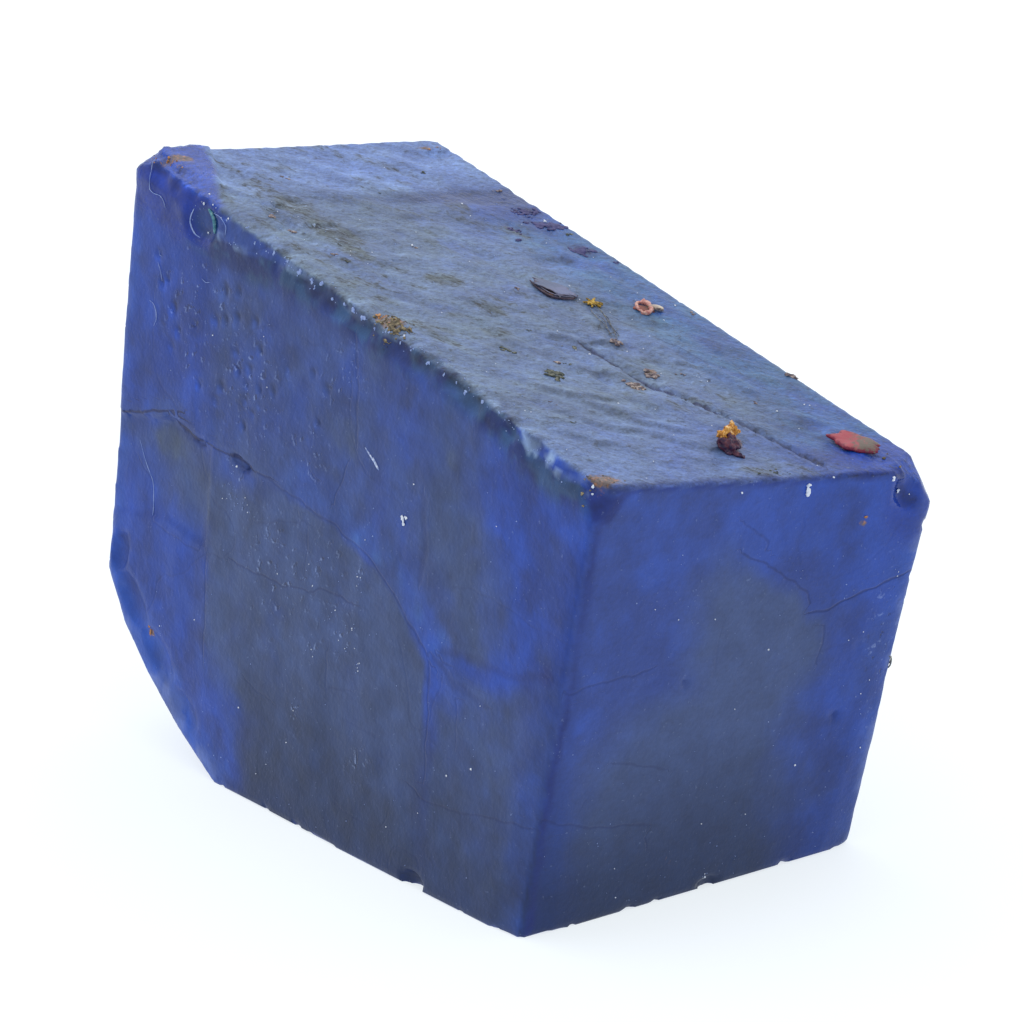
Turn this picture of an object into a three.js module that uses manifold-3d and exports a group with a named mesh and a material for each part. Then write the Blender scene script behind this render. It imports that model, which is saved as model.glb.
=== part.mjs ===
// Rough tanzanite: one sawn and broken block of blue zoisite, about 46 mm long, lying on its foot.
//
// The block is a leaning box. Its top slopes down to the near end, a slanted cut takes away the
// lower far end, and its left side and near end lean. All lengths are in millimetres.
// +X runs from the left side to the right side, +Y from the near end to the far end, +Z up.
// The origin is the middle of the stone's box, on the surface that it lies on.

import * as THREE from 'three';
import { ConvexGeometry } from 'three/addons/geometries/ConvexGeometry.js';
import { mergeVertices } from 'three/addons/utils/BufferGeometryUtils.js';
import Module from 'manifold-3d';

const wasm = await Module();
wasm.setup();

// ---------------------------------------------------------------- driving dimensions

// The ten corners where the block's faces would meet if no edge were broken, measured from the
// near left foot.
const CORNER = {
  nearLeftFoot: new THREE.Vector3(0, 0, 0),
  nearRightFoot: new THREE.Vector3(23.25, -0.3, 0),
  farLeftFoot: new THREE.Vector3(0, 29.6, 0),
  farRightFoot: new THREE.Vector3(22, 29.7, 0),
  cutLeft: new THREE.Vector3(0.75, 41.7, 9.3),
  cutRight: new THREE.Vector3(22.9, 43.3, 10.5),
  nearLeftTop: new THREE.Vector3(2.6, -3.3, 25.7),
  nearRightTop: new THREE.Vector3(26.1, -3.3, 22.3),
  farLeftTop: new THREE.Vector3(3.2, 41, 34.9),
  farRightTop: new THREE.Vector3(25.8, 42.6, 32.2),
};
const MIDDLE = new THREE.Vector3(12.5, 20, 15);

const EDGE_RADIUS = 0.3; // a sawn edge that has only been handled
const WORN_RADIUS = 0.7; // a corner that has been knocked
const PROUD = 0.12; // how far the rounded block's faces stand out of the corners' planes
const BEVEL_ON_TOP = 0.4; // the long left edge is rubbed off this far on the top
const BEVEL_ON_SIDE = 1.0; // and this far down the left side
const FOOT_LIFT = 0.06; // how much of each foot corner's rounding the flat foot cuts away
const STRIATION_COUNT = 11;
const RUN_OVERLAP = 0.06; // how far each straight run of a crack reaches into the next
const SAW_STEP = 0.25; // how much lower one part of the right side was sawn
const CUT_BULGE = 0.9; // how far the slanted cut stands out at its middle
// How far the foot's left and near edges stand out: part of the edge's length, and distance.
const LEFT_FOOT_BULGE = [[0.07, 0.28], [0.3, 0.36], [0.52, 0.3], [0.72, 0.12]];
const NEAR_FOOT_BULGE = [[0.08, 0.22], [0.5, 0.27], [0.9, 0.18]];

const STONE_BLUE = 0x42539a;
const STONE_ROUGHNESS = 0.5;

// ---------------------------------------------------------------- small helpers

// A repeatable row of numbers from 0 to 1, so that the stone is the same each time it is built.
function seededRandom(seed) {
  let state = seed;
  return () => {
    state = (state * 1664525 + 1013904223) % 4294967296;
    return state / 4294967296;
  };
}

// The point at a distance from one corner along the edge to another.
function between(from, to, distance) {
  return to.clone().sub(from).setLength(distance).add(from);
}

function solid(geometry) {
  const bare = geometry.clone();
  bare.deleteAttribute('normal');
  bare.deleteAttribute('uv');
  const merged = mergeVertices(bare, 1e-5);
  const mesh = new wasm.Mesh({
    numProp: 3,
    vertProperties: new Float32Array(merged.attributes.position.array),
    triVerts: new Uint32Array(merged.index.array),
  });
  return new wasm.Manifold(mesh);
}

function geometryOf(manifold) {
  const mesh = manifold.getMesh();
  const geometry = new THREE.BufferGeometry();
  geometry.setAttribute('position', new THREE.BufferAttribute(mesh.vertProperties, 3));
  geometry.setIndex(new THREE.BufferAttribute(mesh.triVerts, 1));
  return geometry;
}

// A flat face of the block as a place to work on: along and up lie in it, out leaves the stone.
// hand is -1 where along, up and out are a left-handed set, so that turns go the same way on all.
function face(origin, alongTo, upTo) {
  const along = alongTo.clone().sub(origin).normalize();
  const out = along.clone().cross(upTo.clone().sub(origin)).normalize();
  if (out.dot(origin.clone().sub(MIDDLE)) < 0) out.negate();
  const up = out.clone().cross(along);
  if (up.dot(upTo.clone().sub(origin)) < 0) up.negate();
  const hand = Math.sign(along.clone().cross(up).dot(out));
  const basis = new THREE.Matrix4().makeBasis(along.clone().multiplyScalar(hand), up, out);
  const at = (a, u, o = 0) => origin.clone()
    .addScaledVector(along, a)
    .addScaledVector(up, u)
    .addScaledVector(out, o + PROUD);
  return { at, basis, out, hand };
}

const FACE = {
  left: face(CORNER.nearLeftFoot, CORNER.farLeftFoot, CORNER.nearLeftTop),
  near: face(CORNER.nearLeftFoot, CORNER.nearRightFoot, CORNER.nearLeftTop),
  top: face(CORNER.nearLeftTop, CORNER.nearRightTop, CORNER.farLeftTop),
  right: face(CORNER.nearRightFoot, CORNER.farRightFoot, CORNER.nearRightTop),
  far: face(CORNER.cutLeft, CORNER.cutRight, CORNER.farLeftTop),
  cut: face(CORNER.farLeftFoot, CORNER.farRightFoot, CORNER.cutLeft),
};

// ---------------------------------------------------------------- the block

// The points of a small ball that sits just inside the block at a corner or on an edge, so that
// the hull over them all has rounded edges and still reaches the block's faces.
function roundedPoints(point, radius) {
  const ball = new THREE.SphereGeometry(radius, 8, 6);
  const spot = ball.attributes.position;
  const centre = point.clone();
  centre.x += (radius - PROUD) * Math.sign(MIDDLE.x - point.x);
  centre.y += (radius - PROUD) * Math.sign(MIDDLE.y - point.y);
  centre.z += (radius - PROUD) * Math.sign(MIDDLE.z - point.z);
  const points = [];
  for (let i = 0; i < spot.count; i += 1) {
    points.push(new THREE.Vector3().fromBufferAttribute(spot, i).add(centre));
  }
  return points;
}

function block() {
  const c = CORNER;
  const foot = new THREE.Vector3(0, 0, -FOOT_LIFT);
  const places = [
    [c.nearLeftFoot.clone().add(foot), EDGE_RADIUS],
    [c.nearRightFoot.clone().add(foot), WORN_RADIUS],
    [c.farLeftFoot.clone().add(foot), EDGE_RADIUS],
    [c.farRightFoot.clone().add(foot), EDGE_RADIUS],
    [c.cutLeft, WORN_RADIUS],
    [c.cutRight, WORN_RADIUS],
    [c.farRightTop, WORN_RADIUS],
    // The far left top corner is cut off a little, under the knob that grows on it.
    [between(c.farLeftTop, c.farRightTop, 0.8), WORN_RADIUS],
    [between(c.farLeftTop, c.cutLeft, 0.8), EDGE_RADIUS],
    // The near left top corner has a small flat where it was knocked.
    [between(c.nearLeftTop, c.nearRightTop, 1.1), EDGE_RADIUS],
    [between(c.nearLeftTop, c.nearLeftFoot, 1.9), EDGE_RADIUS],
    // The near right top corner is broken off as a rounded facet.
    [between(c.nearRightTop, c.nearLeftTop, 3.0), EDGE_RADIUS],
    [between(c.nearRightTop, c.farRightTop, 2.0), EDGE_RADIUS],
    [between(c.nearRightTop, c.nearRightFoot, 1.7), EDGE_RADIUS],
    [c.nearRightTop.clone().add(new THREE.Vector3(-0.42, 0.35, -0.45)), WORN_RADIUS],
  ];
  // The rubbed long edge: one line on the top, one on the left side.
  for (const [corner, acrossTo, downTo, alongTo, start] of [
    [c.nearLeftTop, c.nearRightTop, c.nearLeftFoot, c.farLeftTop, 1.2],
    [c.farLeftTop, c.farRightTop, c.cutLeft, c.nearLeftTop, 1.5],
  ]) {
    const slide = between(corner, alongTo, start).sub(corner);
    places.push([between(corner, acrossTo, BEVEL_ON_TOP).add(slide), EDGE_RADIUS / 2]);
    places.push([between(corner, downTo, BEVEL_ON_SIDE).add(slide), EDGE_RADIUS / 2]);
  }
  for (const [to, on, bulges] of [
    [c.farLeftFoot, FACE.left, LEFT_FOOT_BULGE],
    [c.nearRightFoot, FACE.near, NEAR_FOOT_BULGE],
  ]) {
    for (const [part, full] of bulges) {
      const point = c.nearLeftFoot.clone().lerp(to, part).add(foot);
      places.push([point.addScaledVector(on.out, full), EDGE_RADIUS]);
    }
  }
  // The slanted cut is a little full: three points stand out along each of its sides.
  for (const [from, to] of [[c.farLeftFoot, c.cutLeft], [c.farRightFoot, c.cutRight]]) {
    const length = from.distanceTo(to);
    for (const [part, full] of [[0.3, 0.8], [0.58, 0.98], [0.8, 0.72]]) {
      const point = between(from, to, part * length);
      point.addScaledVector(FACE.cut.out, full * CUT_BULGE);
      places.push([point, EDGE_RADIUS]);
    }
  }
  return solid(new ConvexGeometry(places.flatMap(([point, radius]) => roundedPoints(point, radius))));
}

// ---------------------------------------------------------------- what is taken away

// A shallow hollow with an oval rim: a flattened ball that dips into a face.
function hollow(on, along, up, length, width, depth, turn = 0, detail = 1) {
  const ball = new THREE.IcosahedronGeometry(1, detail);
  ball.scale(length / 1.6, width / 1.6, depth / 0.4);
  ball.rotateZ(on.hand * turn);
  ball.applyMatrix4(on.basis);
  const centre = on.at(along, up, 1.5 * depth);
  ball.translate(centre.x, centre.y, centre.z);
  return solid(ball);
}

// One straight run of an open crack: a wedge with its point inside the stone. It runs a little past
// both of its ends, so that it overlaps its neighbours.
function crackRun(on, from, to) {
  const run = new THREE.Vector2(to[0] - from[0], to[1] - from[1]).setLength(RUN_OVERLAP);
  const points = [];
  for (const [[along, up, gap, depth], sign] of [[from, -1], [to, 1]]) {
    const a = along + sign * run.x;
    const u = up + sign * run.y;
    // The crack opens across its own direction.
    const across = new THREE.Vector2(-run.y, run.x).setLength(gap / 2);
    points.push(on.at(a + across.x, u + across.y));
    points.push(on.at(a - across.x, u - across.y));
    points.push(on.at(a + 2 * across.x, u + 2 * across.y, 1));
    points.push(on.at(a - 2 * across.x, u - 2 * across.y, 1));
    points.push(on.at(a, u, -depth));
  }
  return solid(new ConvexGeometry(points));
}

// Small flat chips knocked out of an edge, each bite a rough ball that sits just off the edge.
function chips(from, to, outward, count, size, seed) {
  const random = seededRandom(seed);
  const cuts = [];
  for (let i = 0; i < count; i += 1) {
    const radius = size * (0.55 + 0.9 * random());
    const ball = new THREE.IcosahedronGeometry(radius, 0);
    ball.rotateX(6.28 * random());
    ball.rotateZ(6.28 * random());
    const part = (i + 0.15 + 0.7 * random()) / count;
    const centre = from.clone().lerp(to, part).addScaledVector(outward, radius * 0.62);
    ball.translate(centre.x, centre.y, centre.z);
    cuts.push(solid(ball));
  }
  return cuts;
}

function edgeChips() {
  const c = CORNER;
  const topLeft = [between(c.nearLeftTop, c.farLeftTop, 1.5), between(c.farLeftTop, c.nearLeftTop, 8)];
  const leftward = new THREE.Vector3(-0.7, 0, 0.7);
  const rightward = new THREE.Vector3(0.75, 0, 0.66);
  return [
    chips(topLeft[0], topLeft[1], leftward, 26, 0.75, 3),
    chips(c.nearLeftFoot, c.farLeftFoot, new THREE.Vector3(-0.7, 0, -0.7), 8, 0.25, 5),
    chips(c.nearLeftFoot, c.nearRightFoot, new THREE.Vector3(0, -0.7, -0.7), 6, 0.4, 8),
    chips(c.nearRightFoot, c.nearRightTop, new THREE.Vector3(0.7, -0.7, 0), 10, 0.3, 13),
    chips(c.nearRightTop, c.farRightTop, rightward, 9, 0.25, 21),
    chips(c.nearRightFoot, c.farRightFoot, new THREE.Vector3(0.7, 0, -0.7), 7, 0.7, 34),
    chips(c.farLeftTop, c.farRightTop, new THREE.Vector3(0, 0.7, 0.7), 6, 0.25, 55),
    chips(c.cutRight, c.farRightTop, new THREE.Vector3(0.7, 0.7, 0), 7, 0.7, 89),
    chips(c.cutLeft, c.farLeftTop, new THREE.Vector3(-0.7, 0.7, 0), 6, 0.25, 144),
  ].flat();
}

// Shell-shaped breaks, where a splinter sprang off: face, along, up, length, width, depth, turn.
function shellBreaks() {
  const { left, near, top, right, far, cut } = FACE;
  return [
    // scallops up the left side of the slanted cut
    hollow(left, 38.6, 8.6, 3.4, 1.6, 0.16, 0.75, 2),
    hollow(left, 35.6, 6.0, 3.6, 1.6, 0.16, 0.65, 2),
    hollow(left, 32.6, 3.5, 3.0, 1.3, 0.15, 0.55, 2),
    hollow(left, 40.2, 11.2, 1.4, 2.2, 0.15, 0.2),
    // the slanted cut is one broken surface of overlapping shells
    hollow(cut, 7.8, 10.0, 9.5, 9.0, 0.6, 0.4, 2),
    hollow(cut, 13.5, 5.0, 12.0, 10.0, 0.6, -0.3, 2),
    hollow(cut, 18.5, 11.0, 8.0, 8.0, 0.5, 0.2, 2),
    // bites out of the far face's edges
    hollow(far, 4.2, 8.0, 4.0, 7.5, 0.5, 0.2),
    hollow(far, 20.8, 13.0, 4.0, 8.0, 0.6, -0.1),
    hollow(far, 20.6, 6.5, 3.6, 5.5, 0.5, 0.2),
    hollow(far, 9.0, 0.6, 8.0, 2.4, 0.4),
    // bites out of the right side's edges
    hollow(right, 6.5, 0.8, 6.0, 3.0, 0.5, 0.1),
    hollow(right, 10.8, 0.5, 5.0, 2.2, 0.45),
    hollow(right, 23.0, 1.0, 5.5, 3.6, 0.5, -0.2),
    hollow(right, 31.0, 4.5, 5.0, 3.0, 0.5, 0.7),
    hollow(right, 42.0, 18.0, 3.6, 7.0, 0.5, 0.1),
    // the broken near right top corner and the oval chip by the far left one
    hollow(near, 24.3, 21.7, 1.9, 2.1, 0.35, 0.3, 2),
    hollow(left, 34.0, 32.4, 2.6, 2.2, 0.22, 0.2, 2),
    // chips low on the left side and on the near end
    hollow(left, 9.4, 0.3, 1.8, 1.0, 0.2),
    hollow(near, 12.6, 0.3, 1.4, 0.8, 0.2),
    hollow(top, 20.6, 44.6, 3.0, 1.4, 0.25, 0.2),
  ];
}

// A saw that came from the other way left the far part of the right side a step lower.
function sawStep() {
  const corners = [[27, -2], [24, 12], [30, 22], [44, 24], [46, 8]];
  const points = corners.flatMap(([along, up]) => [
    FACE.right.at(along, up, -SAW_STEP),
    FACE.right.at(along, up, 2),
  ]);
  return solid(new ConvexGeometry(points));
}

// Narrow striations that run the length of the top, as they do on the crystal's own faces.
function striations() {
  const random = seededRandom(17);
  const cuts = [];
  for (let i = 0; i < STRIATION_COUNT; i += 1) {
    const across = 2.5 + (19.5 * (i + 0.8 * random())) / STRIATION_COUNT;
    const up = 9 + 26 * random();
    const reach = 7 + 9 * random();
    cuts.push(hollow(FACE.top, across, up, 0.7 + 0.8 * random(), reach, 0.1, 0.06 * random()));
  }
  return cuts;
}

// The crack that crosses the left side. It starts as a ledge, opens, and dies out as a thin line.
// A ledge point is along, up and height, less than nothing where the ledge has died out. A crack
// point is along, up, gap and depth.
const LEDGE = [[42.5, 19.3, 0], [38.5, 19.9, 0.1], [35.6, 20.3, 0.14], [31.5, 19.7, -0.1]];
const LEDGE_FADE = 6; // how far below the ledge the side comes back to its own level
const LEFT_CRACK = [
  [36.2, 20.3, 0.2, 0.5], [34.3, 19.9, 0.5, 0.9], [32.9, 19.6, 0.3, 0.7], [31, 19.7, 0.3, 0.6],
  [29.1, 19.7, 0.3, 0.6], [27.9, 19.3, 0.45, 0.8], [26.3, 18.9, 0.15, 0.25],
];
const TOP_CRACK = [
  [11.7, 16.9, 0.2, 0.2], [12.2, 14.3, 0.25, 0.25], [12.9, 11.2, 0.3, 0.35],
  [13.5, 9.4, 0.3, 0.3], [14.4, 7.5, 0.2, 0.25], [15.1, 5.7, 0.25, 0.25], [16.5, 1.2, 0.15, 0.15],
];

function cracks() {
  const cuts = [];
  for (const [on, points] of [[FACE.left, LEFT_CRACK], [FACE.top, TOP_CRACK]]) {
    for (let i = 1; i < points.length; i += 1) cuts.push(crackRun(on, points[i - 1], points[i]));
  }
  for (let i = 1; i < LEDGE.length; i += 1) {
    const points = [LEDGE[i - 1], LEDGE[i]].flatMap(([along, up, height]) => [
      FACE.left.at(along, up, -height),
      FACE.left.at(along, up, 1),
      FACE.left.at(along, up - LEDGE_FADE, 0.15),
      FACE.left.at(along, up - LEDGE_FADE, 1),
    ]);
    cuts.push(solid(new ConvexGeometry(points)));
  }
  return cuts;
}

// Small pits: a few that stand out, and a seeded scatter on every face.
function pits() {
  const cuts = [];
  for (const [along, up, across] of [
    [38.4, 29.6, 0.4], [38.3, 27.9, 0.35], [36.3, 27.1, 0.5], [31.5, 29, 0.4], [30, 29.4, 0.35],
    [32, 27, 0.4], [35.8, 25.5, 0.35], [29.8, 25.8, 0.45], [27.8, 26.6, 0.35], [25.3, 26.1, 0.35],
    [28.7, 24.6, 0.45], [33.8, 22.2, 0.35], [26.9, 22.9, 0.35],
  ]) {
    cuts.push(hollow(FACE.left, along, up, across, across * 1.3, 0.09, 0, 0));
  }
  const random = seededRandom(7);
  for (const [on, width, height, skip, count] of [
    [FACE.left, 27, 18, 4, 8], [FACE.near, 18, 18, 4, 5], [FACE.top, 18, 38, 3, 22],
    [FACE.right, 27, 18, 2, 22], [FACE.far, 17, 20, 2, 14], [FACE.cut, 17, 11, 2, 8],
  ]) {
    for (let i = 0; i < count; i += 1) {
      const across = 0.3 + 0.4 * random();
      const along = skip + width * random();
      cuts.push(hollow(on, along, skip + height * random(), across, across * 1.4, 0.1, random(), 0));
    }
  }
  return cuts;
}

// ---------------------------------------------------------------- what stands on it

// A crumb or flake that is stuck down: a rough lump with its lower part sunk in the stone.
function lump(on, along, up, length, width, height, turn, seed) {
  const random = seededRandom(seed);
  const points = [];
  for (let i = 0; i < 16; i += 1) {
    const around = (i / 16) * 2 * Math.PI;
    const reach = 0.75 + 0.25 * random();
    const level = i % 2 === 0 ? -0.3 : 0.35 + 0.65 * random();
    const spread = i % 2 === 0 ? 1 : 0.7;
    points.push(new THREE.Vector3(
      0.5 * length * spread * reach * Math.cos(around),
      0.5 * width * spread * reach * Math.sin(around),
      height * level,
    ));
  }
  const rock = new ConvexGeometry(points);
  rock.rotateZ(on.hand * turn);
  rock.applyMatrix4(on.basis);
  const centre = on.at(along, up, 0);
  rock.translate(centre.x, centre.y, centre.z);
  return solid(rock);
}

function stuckCrumbs() {
  const { top } = FACE;
  return [
    lump(top, 13.4, 6.2, 1.5, 1.1, 1.0, 0.4, 2), // a tall rust-coloured crumb
    lump(top, 12.3, 5.0, 1.3, 1.2, 0.4, 0.2, 4), // its dark root
    lump(top, 20.5, 3.2, 1.2, 3.2, 0.45, -0.5, 6), // a red flake
    lump(top, 19.9, 21.5, 1.7, 1.1, 0.3, 0.1, 8), // a small ring-shaped flake
    lump(top, 14.9, 24.3, 1.5, 3.2, 0.35, -0.45, 10), // a dark leaf-shaped flake
    lump(top, 21.5, 34.8, 1.3, 3.4, 0.3, -0.1, 12), // dark flakes along the right edge
    lump(top, 21.5, 31.2, 1.1, 2.2, 0.3, -0.1, 14),
    lump(top, 13.7, 13.3, 0.8, 0.7, 0.35, 0, 16),
    lump(top, 11.4, 12.0, 1.0, 0.8, 0.35, 0, 18),
    lump(top, 16.4, 22.6, 1.0, 0.6, 0.25, 0, 20),
    lump(top, 7.0, 13.2, 1.4, 1.2, 0.2, 0, 22),
    lump(top, 0.9, 20.4, 1.2, 2.8, 0.4, 0.1, 24), // a rusty patch on the long left edge
    lump(top, 4.3, 37.2, 0.9, 1.1, 0.3, 0, 26),
    lump(top, 21.9, 38.9, 0.8, 0.9, 0.2, 0, 28), // bumps along the right edge
    lump(top, 22.9, 12.2, 0.6, 1.0, 0.2, 0, 30),
  ];
}

// The far left corner ends in a knob of darker, glassier stone whose edge stands up from the top.
function cornerKnob() {
  const { left, top } = FACE;
  return solid(new ConvexGeometry([
    top.at(3.8, 44.9, 0.6),
    top.at(2.5, 42.6, 0.55),
    top.at(1.5, 40.2, 0.45),
    top.at(0.7, 37.9, 0.2),
    top.at(0, 35.6, -0.2),
    top.at(2.2, 45, 0.65),
    top.at(0.4, 44.7, 0.5),
    left.at(40.8, 33.3, 0.05),
    left.at(38.9, 33.0, 0.12),
    left.at(36.0, 33.0, 0.1),
    left.at(33.0, 33.2, 0.05),
    top.at(4.0, 43.5, -2),
    top.at(2.0, 36.5, -2),
  ]));
}

// ---------------------------------------------------------------- the stone

// The surface that the stone lies on cuts its foot flat, edge to edge.
function aboveFloor() {
  const room = new THREE.BoxGeometry(80, 100, 60);
  room.translate(10, 20, 30);
  return solid(room);
}

function stone() {
  const grown = wasm.Manifold.union([block(), cornerKnob(), ...stuckCrumbs()]);
  const lost = wasm.Manifold.union([
    ...edgeChips(), ...shellBreaks(), sawStep(), ...striations(), ...cracks(), ...pits(),
  ]);
  return grown.subtract(lost).intersect(aboveFloor());
}

const geometry = geometryOf(stone());
geometry.computeBoundingBox();
const { min, max } = geometry.boundingBox;
geometry.translate(-(min.x + max.x) / 2, -(min.y + max.y) / 2, -min.z);

const tanzanite = new THREE.Mesh(geometry, new THREE.MeshStandardMaterial({
  color: STONE_BLUE,
  roughness: STONE_ROUGHNESS,
  metalness: 0,
}));
tanzanite.name = 'rough_tanzanite';

const part = new THREE.Group();
part.add(tanzanite);

export default part;
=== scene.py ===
# %% [markdown]
# # A rough tanzanite, sawn into a slanting block
# Tanzanite is a blue zoisite. This piece is rough: a crystal that was sawn to its sound part, with
# flat dull faces, a few healed cracks, worn edges and crumbs of the mother rock stuck on its top.
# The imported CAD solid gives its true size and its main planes. It is loaded first and never moved,
# because everything here is measured from it.

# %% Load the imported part
import itertools
import math
from collections import namedtuple

import bmesh
import bpy
import numpy as np
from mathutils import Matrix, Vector
from mathutils.bvhtree import BVHTree


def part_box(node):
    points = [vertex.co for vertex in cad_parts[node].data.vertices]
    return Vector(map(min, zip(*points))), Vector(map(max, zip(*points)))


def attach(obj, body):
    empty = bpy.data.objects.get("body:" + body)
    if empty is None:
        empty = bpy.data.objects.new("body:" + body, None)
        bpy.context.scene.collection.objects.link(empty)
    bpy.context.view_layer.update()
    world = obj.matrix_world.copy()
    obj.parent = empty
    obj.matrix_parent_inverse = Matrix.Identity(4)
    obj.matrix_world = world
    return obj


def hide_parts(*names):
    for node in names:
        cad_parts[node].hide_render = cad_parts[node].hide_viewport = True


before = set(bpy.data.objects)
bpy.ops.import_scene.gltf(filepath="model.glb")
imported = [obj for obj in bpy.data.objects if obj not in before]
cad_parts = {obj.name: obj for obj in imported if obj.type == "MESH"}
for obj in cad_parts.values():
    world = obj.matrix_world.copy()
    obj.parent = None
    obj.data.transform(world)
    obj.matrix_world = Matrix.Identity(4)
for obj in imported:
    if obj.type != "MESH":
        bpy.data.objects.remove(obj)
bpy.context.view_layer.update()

MM = 0.001  # Blender works in metres, this stone is described in millimetres
NODE = "rough_tanzanite"
box_low, box_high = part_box(NODE)
print("CAD box in mm:", [round(side / MM, 2) for side in box_high - box_low])

# %% [markdown]
# ## The corners and the faces
# A sawn block is easiest to talk about face by face. Each face gets its own ruler: how far along,
# how far up, and how far out of the face a point lies, all in millimetres. The corners below are
# those of the CAD solid, counted from the near left corner of its foot, and that corner is found
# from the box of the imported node.

# %% Corners and face rulers
FOOT_CORNER_IN_BOX = np.array((0.4705, 3.42, 0.0))
CORNER = {
    "near left foot": (0, 0, 0),
    "near right foot": (23.25, -0.3, 0),
    "far left foot": (0, 29.6, 0),
    "far right foot": (22, 29.7, 0),
    "cut left": (0.75, 41.7, 9.3),
    "cut right": (22.9, 43.3, 10.5),
    "near left top": (2.6, -3.3, 25.7),
    "near right top": (26.1, -3.3, 22.3),
    "far left top": (3.2, 41, 34.9),
    "far right top": (25.8, 42.6, 32.2),
}
CORNER = {name: np.array(place, float) for name, place in CORNER.items()}
STONE_MIDDLE = np.mean(list(CORNER.values()), axis=0)
origin_mm = np.array(box_low) / MM + FOOT_CORNER_IN_BOX
Face = namedtuple("Face", "origin along up out")


def face(origin, along_to, up_to):
    """A face's ruler: its origin corner and three unit directions."""
    start = CORNER[origin]
    along = CORNER[along_to] - start
    along = along / np.linalg.norm(along)
    up = CORNER[up_to] - start
    up = up - along * (up @ along)
    up = up / np.linalg.norm(up)
    out = np.cross(along, up)
    if out @ (start - STONE_MIDDLE) < 0:
        out = -out
    return Face(start, along, up, out)


LEFT = face("near left foot", "far left foot", "near left top")
NEAR = face("near left foot", "near right foot", "near left top")
TOP = face("near left top", "near right top", "far left top")
RIGHT = face("near right foot", "far right foot", "near right top")
FAR = face("cut left", "cut right", "far left top")
CUT = face("far left foot", "far right foot", "cut left")


def to_scene(points_mm):
    """Block millimetres to Blender metres."""
    return (np.asarray(points_mm) + origin_mm) * MM


print("top face leans", round(math.degrees(math.acos(TOP.out[2])), 1), "degrees from level")

# %% [markdown]
# ## Camera
# A small stone is best looked at from well back through a long lens, so its edges stay almost
# parallel. The camera stands to the left of the near end, a little above the stone.

# %% Camera
CAMERA_PLACE = (-151.05, -198.31, 104.79)
CAMERA_AIM = (-1.5, -1.25, 24.74)
LENS_MM, SENSOR_MM, NEAREST_SEEN_MM = 175.78, 36, 10
lens_cam = bpy.data.cameras.new("long lens")
lens_cam.lens = LENS_MM
lens_cam.sensor_width = SENSOR_MM
lens_cam.clip_start = NEAREST_SEEN_MM * MM
camera = bpy.data.objects.new("camera", lens_cam)
camera.location = to_scene(CAMERA_PLACE)
aim = Vector(to_scene(CAMERA_AIM)) - camera.location
camera.rotation_euler = aim.to_track_quat("-Z", "Y").to_euler()
bpy.context.scene.collection.objects.link(camera)
bpy.context.scene.camera = camera
print("camera is", round(aim.length / MM), "mm from the stone's near corner")

# %% [markdown]
# ## Nodes and colours
# A material is a small network of nodes. One helper adds a node, sets its properties and its
# sockets, and makes the links. Colours are written as the hex values a painter would pick from a
# screen, and one function turns them into the linear light that the renderer adds up.

# %% Helpers for materials
def fill(tree, node, inputs):
    """Fill a node's sockets: a node or a socket is linked, and anything else is set as a value."""
    for socket, value in inputs.items():
        if isinstance(value, bpy.types.Node):
            value = value.outputs[0]
        if isinstance(value, bpy.types.NodeSocket):
            tree.links.new(value, node.inputs[socket])
        else:
            node.inputs[socket].default_value = value


def add(tree, kind, inputs=None, **settings):
    """Add a node: settings are its properties, and inputs fill its sockets."""
    made = tree.nodes.new(kind)
    for name, value in settings.items():
        setattr(made, name, value)
    fill(tree, made, inputs or {})
    return made


def paint(hex_colour):
    """An sRGB hex colour as linear red, green, blue and full alpha."""
    parts = [int(hex_colour[i : i + 2], 16) / 255 for i in (1, 3, 5)]
    return tuple(c / 12.92 if c <= 0.04045 else ((c + 0.055) / 1.055) ** 2.4 for c in parts) + (1,)


def new_material(name):
    """An empty node material, with its tree and its shader."""
    material = bpy.data.materials.new(name)
    material.use_nodes = True
    tree = material.node_tree
    tree.nodes.clear()
    shader = add(tree, "ShaderNodeBsdfPrincipled")
    add(tree, "ShaderNodeOutputMaterial", {"Surface": shader})
    return material, tree, shader


print("tanzanite blue in linear light:", [round(c, 3) for c in paint("#40549b")[:3]])

# %% [markdown]
# ## Light and floor
# The stone lies on a white sheet under soft light from all around: a white world, and one big
# panel above and behind it that makes the sheet shine out to pure white. What is left of the
# shadow is a faint cool tint where the stone touches the sheet. The plain view transform keeps
# that white white.

# %% Light and floor
bpy.context.scene.view_settings.view_transform = "Standard"
room = bpy.data.worlds.new("white room")
room.use_nodes = True
room.node_tree.nodes.clear()
tree = room.node_tree
looking = add(tree, "ShaderNodeSeparateXYZ", {0: add(tree, "ShaderNodeTexCoord").outputs["Generated"]})
glow_limits = {"From Min": -0.9, "From Max": 0.6, "To Min": 0.9, "To Max": 1.04}
behind = {"Value": looking.outputs["Y"], **glow_limits}
behind = add(tree, "ShaderNodeMapRange", behind, interpolation_type="SMOOTHSTEP")
room_glow = add(tree, "ShaderNodeBackground", {"Color": paint("#f9fbff"), "Strength": behind})
add(tree, "ShaderNodeOutputWorld", {"Surface": room_glow})
bpy.context.scene.world = room

PANEL_SIDE, PANEL_WATTS, PANEL_PLACE = 1.2, 5, (0.15, 0.45, 1.1)
panel_light = bpy.data.lights.new("soft panel", "AREA")
panel_light.size = PANEL_SIDE
panel_light.energy = PANEL_WATTS
panel = bpy.data.objects.new("soft panel", panel_light)
panel.location = PANEL_PLACE
panel.rotation_euler = (-panel.location).to_track_quat("-Z", "Y").to_euler()
bpy.context.scene.collection.objects.link(panel)

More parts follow.
